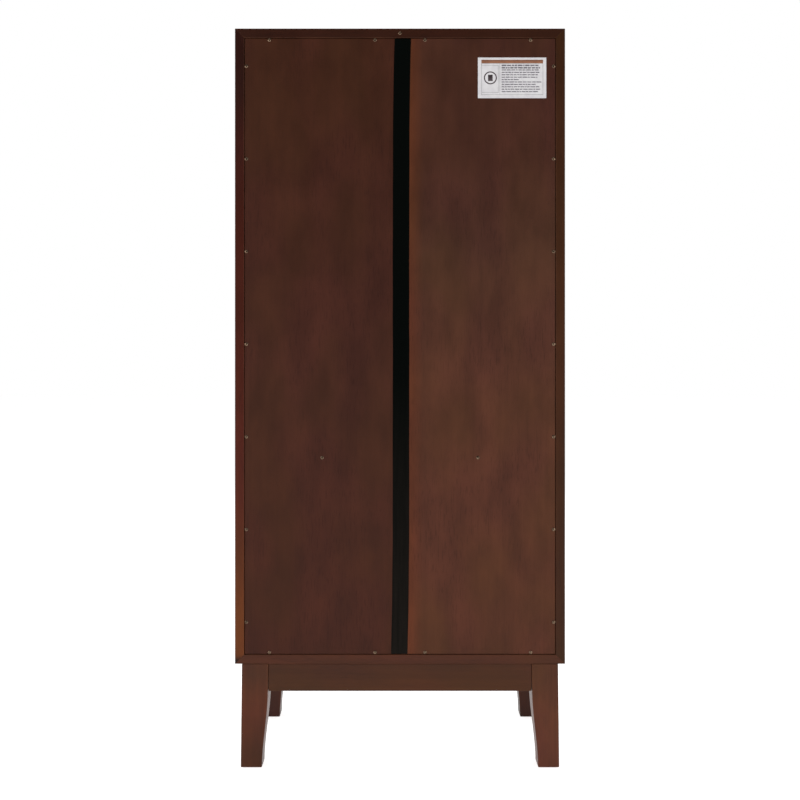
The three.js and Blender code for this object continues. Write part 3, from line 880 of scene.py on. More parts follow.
def make_piece(
    name: str,
    surface: Surface,
    material: Material,
    body: str,
    replaces: Sequence[str] = (),
    crease: float = 35.0,
    drills: Surface | None = None,
) -> bpy.types.Object:
    """Puts a surface into a mesh, dresses it and hangs it on its body.

    Args:
        name: the piece's name.
        surface: its shape, in place.
        material: its finish.
        body: the CAD body that it moves with.
        replaces: the CAD nodes that it stands for.
        crease: the angle in degrees past which an edge is drawn sharp.
        drills: closed shapes to cut out of it.

    Returns:
        The object, at the origin, with its faces outwards and flat faces shaded flat.
    """
    obj = bpy.data.objects.new(name, shell_mesh(name, surface))
    bpy.context.scene.collection.objects.link(obj)
    if drills:
        drill(obj, drills)
    mesh = obj.data
    mesh.shade_smooth()
    mesh.set_sharp_from_angle(angle=math.radians(crease))
    mesh.materials.append(material)
    weighted = obj.modifiers.new("flat_faces", "WEIGHTED_NORMAL")
    weighted.keep_sharp = True
    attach(obj, body)
    if replaces:
        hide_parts(*replaces)
    LOG.info("%s: %d faces on %s", name, len(mesh.polygons), body)
    return obj


def dress_node(node: str, material: Material, ease: float) -> None:
    """Gives a CAD node its finish and eased edges.

    Args:
        node: the node's name.
        material: its finish.
        ease: how wide its edges are eased.
    """
    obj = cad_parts[node]
    obj.data.materials.clear()
    obj.data.materials.append(material)
    weld = obj.modifiers.new("weld", "WELD")
    weld.merge_threshold = 0.01 * MM
    bevel = obj.modifiers.new("ease", "BEVEL")
    bevel.width, bevel.segments = ease, 2
    bevel.limit_method, bevel.angle_limit = "ANGLE", math.radians(40)
    LOG.info("%s: CAD node dressed", node)


def span(node: str) -> tuple[Vector, Vector]:
    """A CAD node's lowest and highest corner."""
    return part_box(node)


@dataclass(frozen=True)
class ShelfPins:
    """Four pins under each loose shelf, with a spare hole above and below each pin."""

    radius: float = 2.5 * MM
    reach: float = 9 * MM
    collar: float = 3.8 * MM
    collar_height: float = 0.9 * MM
    tip: float = 0.6 * MM
    inset: float = 45 * MM
    loose: int = 5
    hole_radius: float = 2.6 * MM
    hole_depth: float = 10 * MM
    overrun: float = 1 * MM
    pitch: float = 32 * MM
    around: int = 16

    def places(self, side: Side) -> dict[str, Vector]:
        """Where each pin of a side meets the wall.

        Args:
            side: the cabinet's half.

        Returns:
            The places, by the end of the pin's name.
        """
        wall = abs(span("side_right")[0].x) * side.value
        places = {}
        for i in range(1, self.loose + 1):
            low, high = span(f"loose_shelf_{i}")
            for row, y in (("front", low.y + self.inset), ("rear", high.y - self.inset)):
                places[f"{i}_{row}_{side.word}"] = Vector((wall, y, low.z - self.collar))
        return places

    def holes(self, side: Side) -> Surface:
        """The spare holes of a side: straight, with a short cone left by the drill's point.

        Args:
            side: the cabinet's half.

        Returns:
            The closed shapes to cut out of its board.
        """
        depth = self.hole_depth
        profile = [
            [self.hole_radius, -self.overrun],
            [self.hole_radius, depth],
            [0.0, depth + self.overrun],
        ]
        shape = turned(np.array(profile), self.around)
        axes = [[0, 1, 0], [0, 0, 1], [side.value, 0, 0]]
        steps = (-self.pitch, self.pitch)
        return joined(
            [
                shape.placed(place + Vector((0.0, 0.0, step)), axes)
                for place in self.places(side).values()
                for step in steps
            ]
        )

    def build(self, steel: Material) -> None:
        """Makes the pins: a collar against the side board and a rounded peg.

        Args:
            steel: the pins' finish.
        """
        r = self.radius
        profile = [
            [0.0, 0.0],
            [self.collar, 0.0],
            [self.collar, self.collar_height],
            [r, self.collar_height],
            [r, self.reach - self.tip],
            [r - self.tip, self.reach],
            [0.0, self.reach],
        ]
        shape = turned(np.array(profile), self.around)
        for side in Side:
            axes = [[0, 1, 0], [0, 0, 1], [-side.value, 0, 0]]
            for tail, place in self.places(side).items():
                name = f"shelf_pin_{tail}"
                make_piece(name, shape.placed(place, axes), steel, CABINET)


@dataclass(frozen=True)
class Carcass:
    """Two sides, a top and a bottom board, mitred at the corners and rabbeted for the back."""

    ease: float = 1.1 * MM
    mitre_ease: float = 0.5 * MM
    panel_clearance: float = 1.2 * MM
    rabbet_gap: float = 0.3 * MM
    set_back: float = 0.8 * MM
    mitre_gap: float = 0.02 * MM
    pins: ShelfPins = ShelfPins()

    def section(self) -> Points:
        """The section of all four boards: depth from the outer face, and width along Y.

        The rear edges lie a little in from the legs, so that the screw in the top one can stand
        proud of it.

        Returns:
            Corners x 2, anticlockwise.
        """
        side_low, side_high = span("side_right")
        panel_low, panel_high = span("back_panel_right")
        thickness = side_high.x - side_low.x
        lip = side_high.x - panel_high.x - self.panel_clearance
        floor = panel_low.y - self.rabbet_gap
        rear = side_high.y - self.set_back
        return np.array(
            [
                [0.0, side_low.y],
                [thickness, side_low.y],
                [thickness, floor],
                [lip, floor],
                [lip, rear],
                [0.0, rear],
            ]
        )

    def rear_painted_light(self, side: Side) -> Tones:
        """Painted light and shade on a side's rear edge: nearly black at the top, redder and paler
        below, where the floor lights it, and on the right side a painted shadow at the foot of the
        mitre.

        Args:
            side: the cabinet's half.

        Returns:
            Heights with their colours.
        """
        if side is Side.RIGHT:
            return (
                (0.233, "#1c0b04"),
                (0.245, "#64320f"),
                (0.32, "#5f300e"),
                (0.58, "#48190c"),
                (0.85, "#421404"),
                (1.16, "#3e1104"),
                (1.47, "#260902"),
            )
        return ((0.32, "#371b06"), (0.85, "#3b1b07"), (1.47, "#321804"))

    def board(self, low: float, high: float) -> Surface:
        """One board between the tips of its mitres."""
        return Board(self.section(), low, high, self.ease, self.mitre_ease, mitre=1.0).surface()

    def build(self) -> None:
        """Makes and dresses the four boards, the sides with upright and the others level grain."""
        # The faces are painted paler low down and darker high up: painted light from the floor.
        face = ((0.3, "#462717"), (1.5, "#3c2013"))
        for side in Side:
            node = f"side_{side.word}"
            low, high = span(node)
            outer = max(abs(low.x), abs(high.x)) * side.value
            axes = [[-side.value, 0, 0], [0, 1, 0], [0, 0, 1]]
            foot, head = span("bottom_board")[0].z, span("top_board")[1].z
            board = self.board(foot + self.mitre_gap, head - self.mitre_gap)
            surface = board.placed([outer, 0, 0], axes)
            shift = (0.11 * side.value, 0.07, 0.31 * side.value)
            edge = self.rear_painted_light(side)
            wood = StainedWood(f"{node}_wood", face, shift=shift, edge_painted_light=edge)
            make_piece(
                f"{node}_board",
                surface,
                wood.material(),
                CABINET,
                [node],
                drills=self.pins.holes(side),
            )
        # The top board's rear edge is painted darker and the bottom board's paler: painted shade
        # above and painted light from the floor below.
        for node, up, tone in (("top_board", -1, "#2b1004"), ("bottom_board", 1, "#452313")):
            low, high = span(node)
            outer = high.z if up < 0 else low.z
            axes = [[0, 0, up], [0, 1, 0], [1, 0, 0]]
            surface = self.board(low.x, high.x).placed([0, 0, outer], axes)
            edge = ((0.0, tone), (2.0, tone))
            wood = StainedWood(
                f"{node}_wood", face, Grain.ALONG_X, (0.2, 0.05 * up, 0.03), edge_painted_light=edge
            )
            make_piece(f"{node}_plank", surface, wood.material(), CABINET, [node])


@dataclass(frozen=True)
class Back:
    """The two back panels, the tape over their seam, and every screw that holds them."""

    screw_radius: float = 3.7 * MM
    screw_height: float = 1.6 * MM
    screw_margin: float = 3.6 * MM
    side_pitch: float = 200.4 * MM
    side_lift: float = 4.4 * MM
    side_screws: int = 7
    row_places: tuple[float, ...] = (54 * MM, 282.5 * MM)
    shelf_place: float = 168.5 * MM
    tape_middle: float = -2.2 * MM
    tape_bend: float = 3.8 * MM
    tape_width: float = 35.5 * MM
    tape_waver: float = 0.12 * MM
    tape_lift: float = 0.06 * MM
    tape_edge: float = 0.12 * MM
    tape_stations: int = 90
    panel_ease: float = 0.7 * MM

    def build(self, steel: Material) -> None:
        """Makes the panels, the tape and the screws.

        Args:
            steel: the screws' finish.
        """
        self.panels()
        self.tape()
        for i, place in enumerate(self.screw_places()):
            self.screw(f"back_screw_{i + 1}", place, steel)
        low, high = span("strap_screw")
        seat = span("top_board")[1].y - self.screw_height
        place = Vector(((low.x + high.x) / 2, seat, (low.z + high.z) / 2))
        self.screw("strap_screw_head", place, steel, ["strap_screw"])

    def panels(self) -> None:
        """Two thin boards with upright grain, pale along their cut edges.

        The pale edges are partly rubbed wear and partly a painted highlight.
        """
        # The panels' tones by height are painted light: paler low down, where the floor lights
        # them.
        tones: dict[Side, Tones] = {
            Side.RIGHT: ((0.43, "#3d1e12"), (0.8, "#3c1e13"), (1.12, "#3a1c11"), (1.45, "#381b0e")),
            Side.LEFT: ((0.43, "#4c2a1b"), (0.8, "#4b2a1c"), (1.12, "#42261a"), (1.35, "#3e2016")),
        }
        for side in Side:
            node = f"back_panel_{side.word}"
            low, high = span(node)
            section = oblong(low.x, high.x, low.y, high.y)
            ease = self.panel_ease
            surface = Board(section, low.z, high.z, ease, ease).surface()
            axes = [[1, 0, 0], [0, 1, 0], [0, 0, 1]]
            wood = StainedWood(
                f"{node}_veneer",
                tones[side],
                shift=(0.05 * side.value, 0.11, 0.4 * side.value),
                streak_contrast=0.04,
                cloud_contrast=0.16,
                roughness=0.5,
                specular=0.12,
                warm_edge=0.5 if side is Side.LEFT else 0.0,
            )
            make_piece(
                f"{node}_sheet",
                surface.placed([0, 0, 0], axes),
                wood.material(),
                CABINET,
                [node],
            )

    def tape(self) -> None:
        """The tape, a thin oblong section carried up the seam.

        Its middle lies off the centre by tape_middle less tape_bend x u to the fifth, where u
        runs from -1 at the foot to 1 at the head, so it is nearly straight and turns aside at
        its ends. It wavers by tape_waver times sin 23s + sin 61s, where s is the share of the
        length, and its face lifts by tape_lift times the square of sin 37s.
        """
        low, high = span("seam_tape")
        share = np.linspace(0.0, 1.0, self.tape_stations)
        middle = self.tape_middle - self.tape_bend * (2 * share - 1) ** 5
        middle = middle + self.tape_waver * (np.sin(23 * share) + np.sin(61 * share))
        lift = self.tape_lift * np.sin(37 * share) ** 2
        half = self.tape_width / 2
        left, right = middle - half, middle + half
        back, face = np.full_like(share, low.y), high.y - self.tape_lift + lift
        corners = np.stack(
            [
                np.stack([left, back], -1),
                np.stack([right, back], -1),
                np.stack([right, face], -1),
                np.stack([left, face], -1),
            ],
            1,
        )
        loops, wear_and_highlight = rounded(corners, np.full(corners.shape[:2], self.tape_edge), 2)
        along = np.broadcast_to((low.z + (high.z - low.z) * share)[:, None], loops.shape[:2])
        surface = carried(np.dstack([loops, along]), wear_and_highlight)
        vinyl = RibbedVinyl().material()
        make_piece("seam_tape_strip", surface, vinyl, CABINET, ["seam_tape"])

    def screw_places(self) -> list[Vector]:
        """Where each back screw sits: down both sides, along both ends and across the shelf.

        Returns:
            Places on the panels' outer face.
        """
        low, high = span("back_panel_right")
        shelf_low, shelf_high = span("fixed_shelf")
        middle = (low.z + high.z) / 2 + self.side_lift
        steps = np.arange(self.side_screws) - (self.side_screws - 1) / 2
        edge = high.x - self.screw_margin
        places = [(s.value * edge, middle + k * self.side_pitch) for s in Side for k in steps]
        ends = (low.z + self.screw_margin, high.z - self.screw_margin)
        places += [(s.value * x, z) for s in Side for x in self.row_places for z in ends]
        shelf = (shelf_low.z + shelf_high.z) / 2
        places += [(s.value * self.shelf_place, shelf) for s in Side]
        return [Vector((x, high.y, z)) for x, z in places]

    def screw(
        self, name: str, place: Vector, steel: Material, replaces: Sequence[str] = ()
    ) -> None:
        """One pan head, facing +Y.

        Args:
            name: the piece's name.
            place: the middle of its seat.
            steel: its finish.
            replaces: the CAD nodes that it stands for.
        """
        head = cross_head(self.screw_radius, self.screw_height)
        surface = head.placed(place, [[1, 0, 0], [0, 0, 1], [0, 1, 0]])
        make_piece(name, surface, steel, CABINET, replaces)


@dataclass(frozen=True)
class Label:
    """A white label with generic printing: a bar, a ring round a plain box, and rows of dashes.

    Places are in from the label's left edge, as read from behind, and down from its top.
    """

    lift: float = 0.03 * MM
    bar: tuple[float, float, float, float] = (7.5 * MM, 141 * MM, 5 * MM, 12.5 * MM)
    cell: tuple[float, float, float, float] = (8.2 * MM, 44.5 * MM, 16.5 * MM, 76 * MM)
    border: tuple[float, float, float, float] = (7.5 * MM, 141 * MM, 12.5 * MM, 80.5 * MM)
    line: float = 0.7 * MM
    split: float = 47 * MM
    ring_centre: tuple[float, float] = (27 * MM, 44 * MM)
    ring_radius: float = 14 * MM
    ring_line: float = 2.4 * MM
    box_half: tuple[float, float] = (5.0 * MM, 6.8 * MM)
    row_start: float = 50 * MM
    row_top: float = 15.5 * MM
    row_pitch: float = 5.2 * MM
    row_height: float = 2.1 * MM
    row_count: int = 12
    heavy_rows: int = 2
    heavy: float = 1.5
    short_row: int = 6
    short_reach: float = 42 * MM
    dash_gap: float = 1.4 * MM
    dash_count: int = 20
    seed: int = 7
    ring_points: int = 40
    paper_ease: float = 0.08 * MM
    film: float = 0.8  # of the lift

    # In millimetres: where rows end, how ragged that is, and a dash's shortest and longest.
    row_end: float = 139.0
    row_ragged: float = 10.0
    dash: tuple[float, float] = (3.0, 11.0)

    def at(self, across: Points, down: Points) -> Points:
        """Points on the label's face.

        Args:
            across: how far in each is from the left edge.
            down: how far each is below the top.

        Returns:
            The points in the cabinet.
        """
        high = span("info_label")[1]
        level = np.full_like(across, high.y + self.lift)
        return np.stack([high.x - across, level, high.z - down], -1)

    def patches(self, boxes: Points) -> Surface:
        """Flat boxes of ink.

        Args:
            boxes: rows of left, right, top and bottom.

        Returns:
            One face for each.
        """
        left, right, top, bottom = boxes.T
        across = np.stack([left, right, right, left], -1)
        down = np.stack([bottom, bottom, top, top], -1)
        points = self.at(across, down).reshape(-1, 3)
        faces = np.arange(len(points)).reshape(-1, 4)[:, ::-1]
        return Surface(points, faces.tolist(), np.zeros(len(points)))

    def outline(self, box: Sequence[float]) -> Points:
        """The thin lines round a box.

        Args:
            box: its left, right, top and bottom.

        Returns:
            Boxes for its top, its bottom, and its right and left between them.
        """
        left, right, top, bottom = box
        t = self.line
        return np.array(
            [
                [left, right, top, top + t],
                [left, right, bottom - t, bottom],
                [right - t, right, top + t, bottom - t],
                [left, left + t, top + t, bottom - t],
            ]
        )

    def ring(self) -> Surface:
        """A flat ring: two circles of points, joined by quads.

        Returns:
            The ring of ink.
        """
        n = self.ring_points
        angle = np.linspace(0.0, 2 * math.pi, n, endpoint=False)
        radius = np.array([self.ring_radius, self.ring_radius - self.ring_line])[:, None]
        across = self.ring_centre[0] + radius * np.cos(angle)
        down = self.ring_centre[1] + radius * np.sin(angle)
        points = self.at(across, down).reshape(-1, 3)
        first = np.arange(n)
        after = (first + 1) % n
        faces = np.stack([first, after, after + n, first + n], -1)
        return Surface(points, faces.tolist(), np.zeros(len(points)))

    def dashes(self) -> Points:
        """Rows of dashes of uneven length, the first two heavier and one row short.

        Returns:
            Rows of left, right, top and bottom.
        """
        rng = np.random.default_rng(self.seed)
        boxes = []
        for row in range(self.row_count):
            reach = self.short_reach
            if row != self.short_row:
                reach = (self.row_end - self.row_ragged * rng.random()) * MM - self.row_start
            lengths = rng.uniform(*self.dash, self.dash_count) * MM
            ends = np.cumsum(lengths + self.dash_gap)
            keep = ends < reach
            left = self.row_start + (ends - lengths)[keep]
            top = self.row_top + row * self.row_pitch
            thick = self.row_height * (self.heavy if row < self.heavy_rows else 1.0)
            tops = np.full_like(left, top)
            boxes.append(np.stack([left, left + lengths[keep], tops, tops + thick], -1))
        return np.concatenate(boxes)

    def build(self) -> None:
        """Makes the label and its printing, a piece for each ink."""
        low, high = span("info_label")
        section = oblong(low.x, high.x, low.y, high.y)
        ease = self.paper_ease
        sheet = Board(section, low.z, high.z, ease, ease, steps=2).surface()
        paper = Print("label_paper", "#cdcbcc", "#c4c1c4").material()
        make_piece("label_sheet", sheet, paper, CABINET, ["info_label"])
        x, z = self.ring_centre
        half_x, half_z = self.box_half
        box = np.array([[x - half_x, x + half_x, z - half_z, z + half_z]])
        border = self.outline(self.border)
        split = border[3] + [self.split - self.border[0], self.split - self.border[0], 0.0, 0.0]
        frames = np.concatenate([self.outline(self.cell)[:3], border, split[None]])
        inks = (
            ("label_bar", [self.patches(np.array([self.bar]))], "#8a573a", "#7c4c31"),
            ("label_ring", [self.ring(), self.patches(box)], "#2a1c20", "#3a2a2e"),
            ("label_lines", [self.patches(frames)], "#989897", "#868886"),
            ("label_rows", [self.patches(self.dashes())], "#716d74", "#5d5a61"),
        )
        for name, surfaces, colour, shade in inks:
            ink = Print(f"{name}_ink", colour, shade).material()
            self.lay(name, joined(surfaces), ink)

    def lay(self, name: str, surface: Surface, ink: Material) -> None:
        """One ink as a piece, a hair thick so that it is a closed film on the paper.

        Args:
            name: the piece's name.
            surface: what is printed.
            ink: its finish.
        """
        obj = make_piece(name, surface, ink, CABINET)
        film = obj.modifiers.new("film", "SOLIDIFY")
        film.thickness = self.lift * self.film
        film.offset = -1.0


@dataclass(frozen=True)
class Legs:
    """Four legs that taper below the aprons, with the aprons between them.

    A leg's width at a height is its foot width plus the difference to its top width times
    3t^2 - 2t^3, where t is the share of the way from the foot to the aprons' lower edge.
    """

    top_width: float = 57 * MM
    foot_width: float = 46 * MM
    splay: float = 2.5 * MM
    arris: float = 2.2 * MM
    least_arris: float = 0.2 * MM
    foot_ease: float = 2.5 * MM
    head_ease: float = 0.4 * MM
    small_ease: float = 0.4 * MM
    stations: int = 18
    apron_ease: float = 1.0 * MM
    apron_end_ease: float = 0.9 * MM
    # The legs' tones by height are painted light and shade: the front legs, behind the rest from
    # the rear, are painted darker, most at their feet.
    leg_painted_shade: dict[str, Tones] = field(
        default_factory=lambda: {
            "rear_right": ((0.03, "#43200e"), (0.12, "#532616"), (0.2, "#492616")),
            "rear_left": ((0.03, "#54291a"), (0.12, "#562d1a"), (0.2, "#4a2815")),
            "front_right": ((0.0, "#371711"), (0.2, "#43200e")),
            "front_left": ((0.0, "#2c0f06"), (0.2, "#43200e")),
        }
    )

    def leg(self, node: str) -> Surface:
        """One leg at its own corner, from the outline at each height.

        Args:
            node: the CAD node that it stands for.

        Returns:
            The closed surface, in place.
        """
        low, high = span(node)
        sx, sy = math.copysign(1, low.x), math.copysign(1, low.y)
        foot_x = max(abs(low.x), abs(high.x))
        face_y = high.y if sy > 0 else low.y
        taper_top = span("apron_rear")[0].z
        shrink, back, worn_and_highlit = quarter(self.foot_ease, 4)
        heights = np.concatenate(
            [
                low.z + back,
                np.linspace(low.z + 2 * self.foot_ease, taper_top, self.stations),
                [high.z - self.head_ease, high.z],
            ]
        )
        shrinks = np.zeros_like(heights)
        shrinks[: len(shrink)] = shrink
        shrinks[-1] = self.head_ease
        # The foot's eased end is paler: partly rubbed wear and partly a painted highlight.
        end_wear_and_highlight = np.zeros_like(heights)
        end_wear_and_highlight[: len(worn_and_highlit)] = worn_and_highlit
        t = np.clip((heights - low.z) / (taper_top - low.z), 0, 1)
        width = self.foot_width + (self.top_width - self.foot_width) * t * t * (3 - 2 * t)
        outer = foot_x - self.splay * (heights - low.z) / (high.z - low.z)
        flat = np.zeros_like(heights)
        corners = np.stack(
            [
                np.stack([outer - width, -width], -1),
                np.stack([outer, -width], -1),
                np.stack([outer, flat], -1),
                np.stack([outer - width, flat], -1),
            ],
            1,
        )
        corners = inset(corners, shrinks[:, None, None])
        radii = np.maximum(self.arris - shrinks, self.least_arris)[:, None]
        loops, wear_and_highlight = rounded(corners, np.broadcast_to(radii, corners.shape[:2]), 3)
        along = np.broadcast_to(heights[:, None], loops.shape[:2])
        surface = carried(np.dstack([loops, along]), np.maximum(wear_and_highlight, end_wear_and_highlight[:, None]))
        return surface.placed([0, face_y, 0], [[sx, 0, 0], [0, sy, 0], [0, 0, 1]])

    def build(self) -> None:
        """Makes the legs and the aprons, and dresses the braces and the glides."""
        raw = RawSoftwood().material()
        nylon = Plastic("nylon", "#2b2622", "#37312b", 0.6).material()
        for i, place in enumerate(("rear_right", "rear_left", "front_right", "front_left")):
            wood = StainedWood(
                f"leg_{place}_wood",
                self.leg_painted_shade[place],
                shift=(0.13 * i, 0.05 * i, 0.02),
                cloud_contrast=0.16,
                roughness=0.36,
            )
            node = f"leg_{place}"
            name = f"{node}_post"
            make_piece(name, self.leg(node), wood.material(), CABINET, [node])
            dress_node(f"corner_brace_{place}", raw, self.small_ease)
            dress_node(f"foot_glide_{place}", nylon, self.small_ease)
        for place in ("rear", "front", "left", "right"):
            self.apron(place)

    def apron(self, place: str) -> None:
        """One apron: a level board with eased edges.

        Args:
            place: which apron, as its CAD node's name ends.
        """
        node = f"apron_{place}"
        low, high = span(node)
        level = place in ("rear", "front")
        grain = Grain.ALONG_X if level else Grain.ALONG_Y
        wide = (low.y, high.y) if level else (low.x, high.x)
        long = (low.x, high.x) if level else (low.y, high.y)
        section = oblong(*wide, low.z, high.z)
        board = Board(section, *long, self.apron_ease, self.apron_end_ease).surface()
        across = [0, 1, 0] if level else [1, 0, 0]
        along = [1, 0, 0] if level else [0, 1, 0]
        # Painted shade: the apron is darker towards its top, under the bottom board.
        tones = ((low.z, "#45240f"), (high.z, "#402111"))
        wood = StainedWood(f"{node}_wood", tones, grain, roughness=0.36)
        surface = board.placed([0, 0, 0], [across, [0, 0, 1], along])
        make_piece(f"{node}_rail", surface, wood.material(), CABINET, [node])


@dataclass(frozen=True)
class Shelves:
    """The fixed shelf, and the loose shelves on their pins."""

    ease: float = 0.8 * MM
    pins: ShelfPins = ShelfPins()

    def shelf(self, node: str, index: int) -> None:
        """One shelf with its grain from side to side.

        Args:
            node: the CAD node that it stands for.
            index: its number, which shifts its grain.
        """
        low, high = span(node)
        section = oblong(low.y, high.y, low.z, high.z)
        board = Board(section, low.x, high.x, self.ease, self.ease).surface()
        surface = board.placed([0, 0, 0], [[0, 1, 0], [0, 0, 1], [1, 0, 0]])
        wood = StainedWood(
            f"{node}_veneer",
            ((0.0, "#4d2d1e"), (2.0, "#4d2d1e")),
            Grain.ALONG_X,
            (0.17 * index, 0.09 * index, 0.0),
            roughness=0.5,
        )
        make_piece(f"{node}_plank", surface, wood.material(), CABINET, [node])

    def build(self, steel: Material) -> None:
        """Makes the shelves and their pins.

        Args:
            steel: the pins' finish.
        """
        self.shelf("fixed_shelf", 0)
        for i in range(1, self.pins.loose + 1):
            self.shelf(f"loose_shelf_{i}", i)
        self.pins.build(steel)


@dataclass(frozen=True)
class Doors:
    """Two inset doors with their knobs, hinges and catches."""

    ease: float = 1.4 * MM
    around: int = 40
    hinges: int = 3
    hinge_screw_radius: float = 2.6 * MM
    hinge_screw_height: float = 0.35 * MM
    hinge_screw_spread: float = 22 * MM
    hinge_screw_inset: float = 8 * MM
    hinge_screw_proud: float = 0.3 * MM
    screw_around: int = 16
    pin_ease: float = 0.25 * MM
    plate_ease: float = 0.2 * MM
    knob_crease: float = 60.0
    catch_flange: float = 2.6 * MM
    catch_half: float = 13.5 * MM
    catch_gap: float = 0.02 * MM
    pole_half: float = 10 * MM
    pole_height: float = 1.4 * MM
    pole_reach: float = 0.9 * MM
    pole_spread: float = 2.6 * MM
    catch_screw_spread: float = 18.2 * MM
    screw_proud: float = 1.2 * MM

    def build(self, steel: Material) -> None:
        """Makes both doors and what hangs on them.

        Args:
            steel: the finish of the screws, the strike plates and the catches' poles.
        """
        bronze = Metal("antique_bronze", "#6d5238", "#3c2c20", 0.34).material()
        plated = Metal("plated_steel", "#9a8f80", "#7b7164", 0.32).material()
        moulded = Plastic("brown_catch_plastic", "#3a2a20", "#463427").material()
        for side in Side:
            self.slab(side)
            self.knob(side, bronze)
            for metal in ("knob_screw", "strike_plate"):
                dress_node(f"{metal}_{side.word}", steel, self.plate_ease)
            self.catch(side, moulded, steel)
            for i in range(1, self.hinges + 1):
                self.hinge(side, i, plated, steel)

    def slab(self, side: Side) -> None:
        """A door: a flat veneered slab with upright grain and eased edges.

        Args:
            side: the cabinet's half.
        """
        node = f"door_{side.word}"
        low, high = span(node)
        section = oblong(low.x, high.x, low.y, high.y)
        surface = Board(section, low.z, high.z, self.ease, self.ease).surface()
        # The veneer is painted paler low down and darker high up: painted light from the floor.
        wood = StainedWood(
            f"{node}_veneer",
            ((0.3, "#482817"), (1.5, "#3d2013")),
            shift=(0.23 * side.value, 0.02, 0.6 * side.value),
            streak_contrast=0.14,
            roughness=0.36,
            specular=0.22,
        )
        make_piece(f"{node}_slab", surface, wood.material(), side.door, [node])

    def catch(self, side: Side, moulded: Material, steel: Material) -> None:
        """A magnetic catch: a screwed flange, a housing below it, and two steel poles in front.

        Args:
            side: the cabinet's half.
            moulded: the flange's and the housing's finish.
            steel: the poles' and the screws' finish.
        """
        node = f"catch_{side.word}"
        low, high = span(node)
        middle, seat = (low.x + high.x) / 2, high.z - self.catch_flange
        front = low.y + self.pole_reach
        axes = [[1, 0, 0], [0, 1, 0], [0, 0, 1]]
        flat = oblong(low.x, high.x, front, high.y)
        flange = Board(flat, seat, high.z, 0.8 * MM, 0.6 * MM).surface().placed([0, 0, 0], axes)
        plan = oblong(middle - self.catch_half, middle + self.catch_half, front, high.y)
        top = seat - self.catch_gap
        housing = Board(plan, low.z, top, 0.9 * MM, 0.7 * MM).surface().placed([0, 0, 0], axes)
        make_piece(
            f"{node}_housing", joined([flange, housing]), moulded, CABINET, [node]
        )
        level = (low.z + top) / 2
        poles = []
        for way in (-1, 1):
            z = level + way * self.pole_spread
            face = oblong(
                middle - self.pole_half,
                middle + self.pole_half,
                z - self.pole_height / 2,
                z + self.pole_height / 2,
            )
            pole = Board(face, 0.0, self.pole_reach - self.catch_gap, 0.2 * MM, 0.2 * MM).surface()
            back = [0, front - self.catch_gap, 0]
            poles.append(pole.placed(back, [[1, 0, 0], [0, 0, 1], [0, -1, 0]]))
        make_piece(f"{node}_poles", joined(poles), steel, CABINET)
        heads = []
        for way in (-1, 1):
            place = [middle + way * self.catch_screw_spread, (front + high.y) / 2, seat]
            head = cross_head(self.hinge_screw_radius, self.screw_proud, self.screw_around)
            heads.append(head.placed(place, [[1, 0, 0], [0, -1, 0], [0, 0, -1]]))
        make_piece(f"{node}_screws", joined(heads), steel, CABINET)

    def knob(self, side: Side, bronze: Material) -> None:
        """A turned knob: a base, a waist and a domed cap, smooth through all its points.

        Args:
            side: the cabinet's half.
            bronze: its finish.
        """
        node = f"knob_{side.word}"
        low, high = span(node)
        radius, reach = (high.x - low.x) / 2, high.y - low.y
        profile = smooth_line(np.array(KNOB_PROFILE) * [radius, reach], 4)
        centre = [(low.x + high.x) / 2, high.y, (low.z + high.z) / 2]
        shape = turned(profile, self.around)
        surface = shape.placed(centre, [[1, 0, 0], [0, 0, 1], [0, -1, 0]])
        name, crease = f"{node}_turning", self.knob_crease
        make_piece(name, surface, bronze, side.door, [node], crease)

    def hinge(self, side: Side, index: int, plated: Material, steel: Material) -> None:
        """Dresses a hinge's leaves and pin, and adds three screw heads to each leaf.

        Args:
            side: the cabinet's half.
            index: the hinge's number, from the lowest up.
            plated: the leaves' and the pin's finish.
            steel: the screws' finish.
        """
        tail = f"{side.word}_{index}"
        dress_node(f"hinge_pin_{tail}", plated, self.pin_ease)
        for kind, body, inward in (
            ("frame_leaf", CABINET, -side.value),
            ("door_leaf", side.door, side.value),
        ):
            node = f"{kind}_{tail}"
            dress_node(node, plated, self.plate_ease)
            low, high = span(node)
            pin_low, pin_high = span(f"hinge_pin_{tail}")
            axis = (pin_low.x + pin_high.x) / 2
            board = span(f"side_{side.word}")
            wall = min(abs(corner.x) for corner in board) * side.value
            proud = self.hinge_screw_proud * inward
            face = wall + proud if kind == "frame_leaf" else 2 * axis - wall + proud
            middle = (low.z + high.z) / 2
            head = cross_head(
                self.hinge_screw_radius, self.hinge_screw_height, self.screw_around
            )
            heads = []
            for step in (-1, 0, 1):
                height = middle + step * self.hinge_screw_spread
                place = [face, high.y - self.hinge_screw_inset, height]
                heads.append(head.placed(place, [[0, 1, 0], [0, 0, 1], [inward, 0, 0]]))
            make_piece(f"{node}_screws", joined(heads), steel, body)


# ---- Studio --------------------------------------------------------------------------------------


@dataclass(frozen=True)
class Lamp:
    """A square soft light."""

    name: str
    place: tuple[float, float, float]
    power: float
    size: float
    target: tuple[float, float, float] = (0.0, 0.0, 0.8)

    def hang(self) -> None:
        """Adds the lamp, turned to its target."""
        data = bpy.data.lights.new(self.name, "AREA")
        data.energy = self.power
        data.size = self.size
        lamp = bpy.data.objects.new(self.name, data)
        lamp.location = self.place
        way = Vector(self.target) - Vector(self.place)
        lamp.rotation_euler = way.to_track_quat("-Z", "Y").to_euler()
        bpy.context.scene.collection.objects.link(lamp)


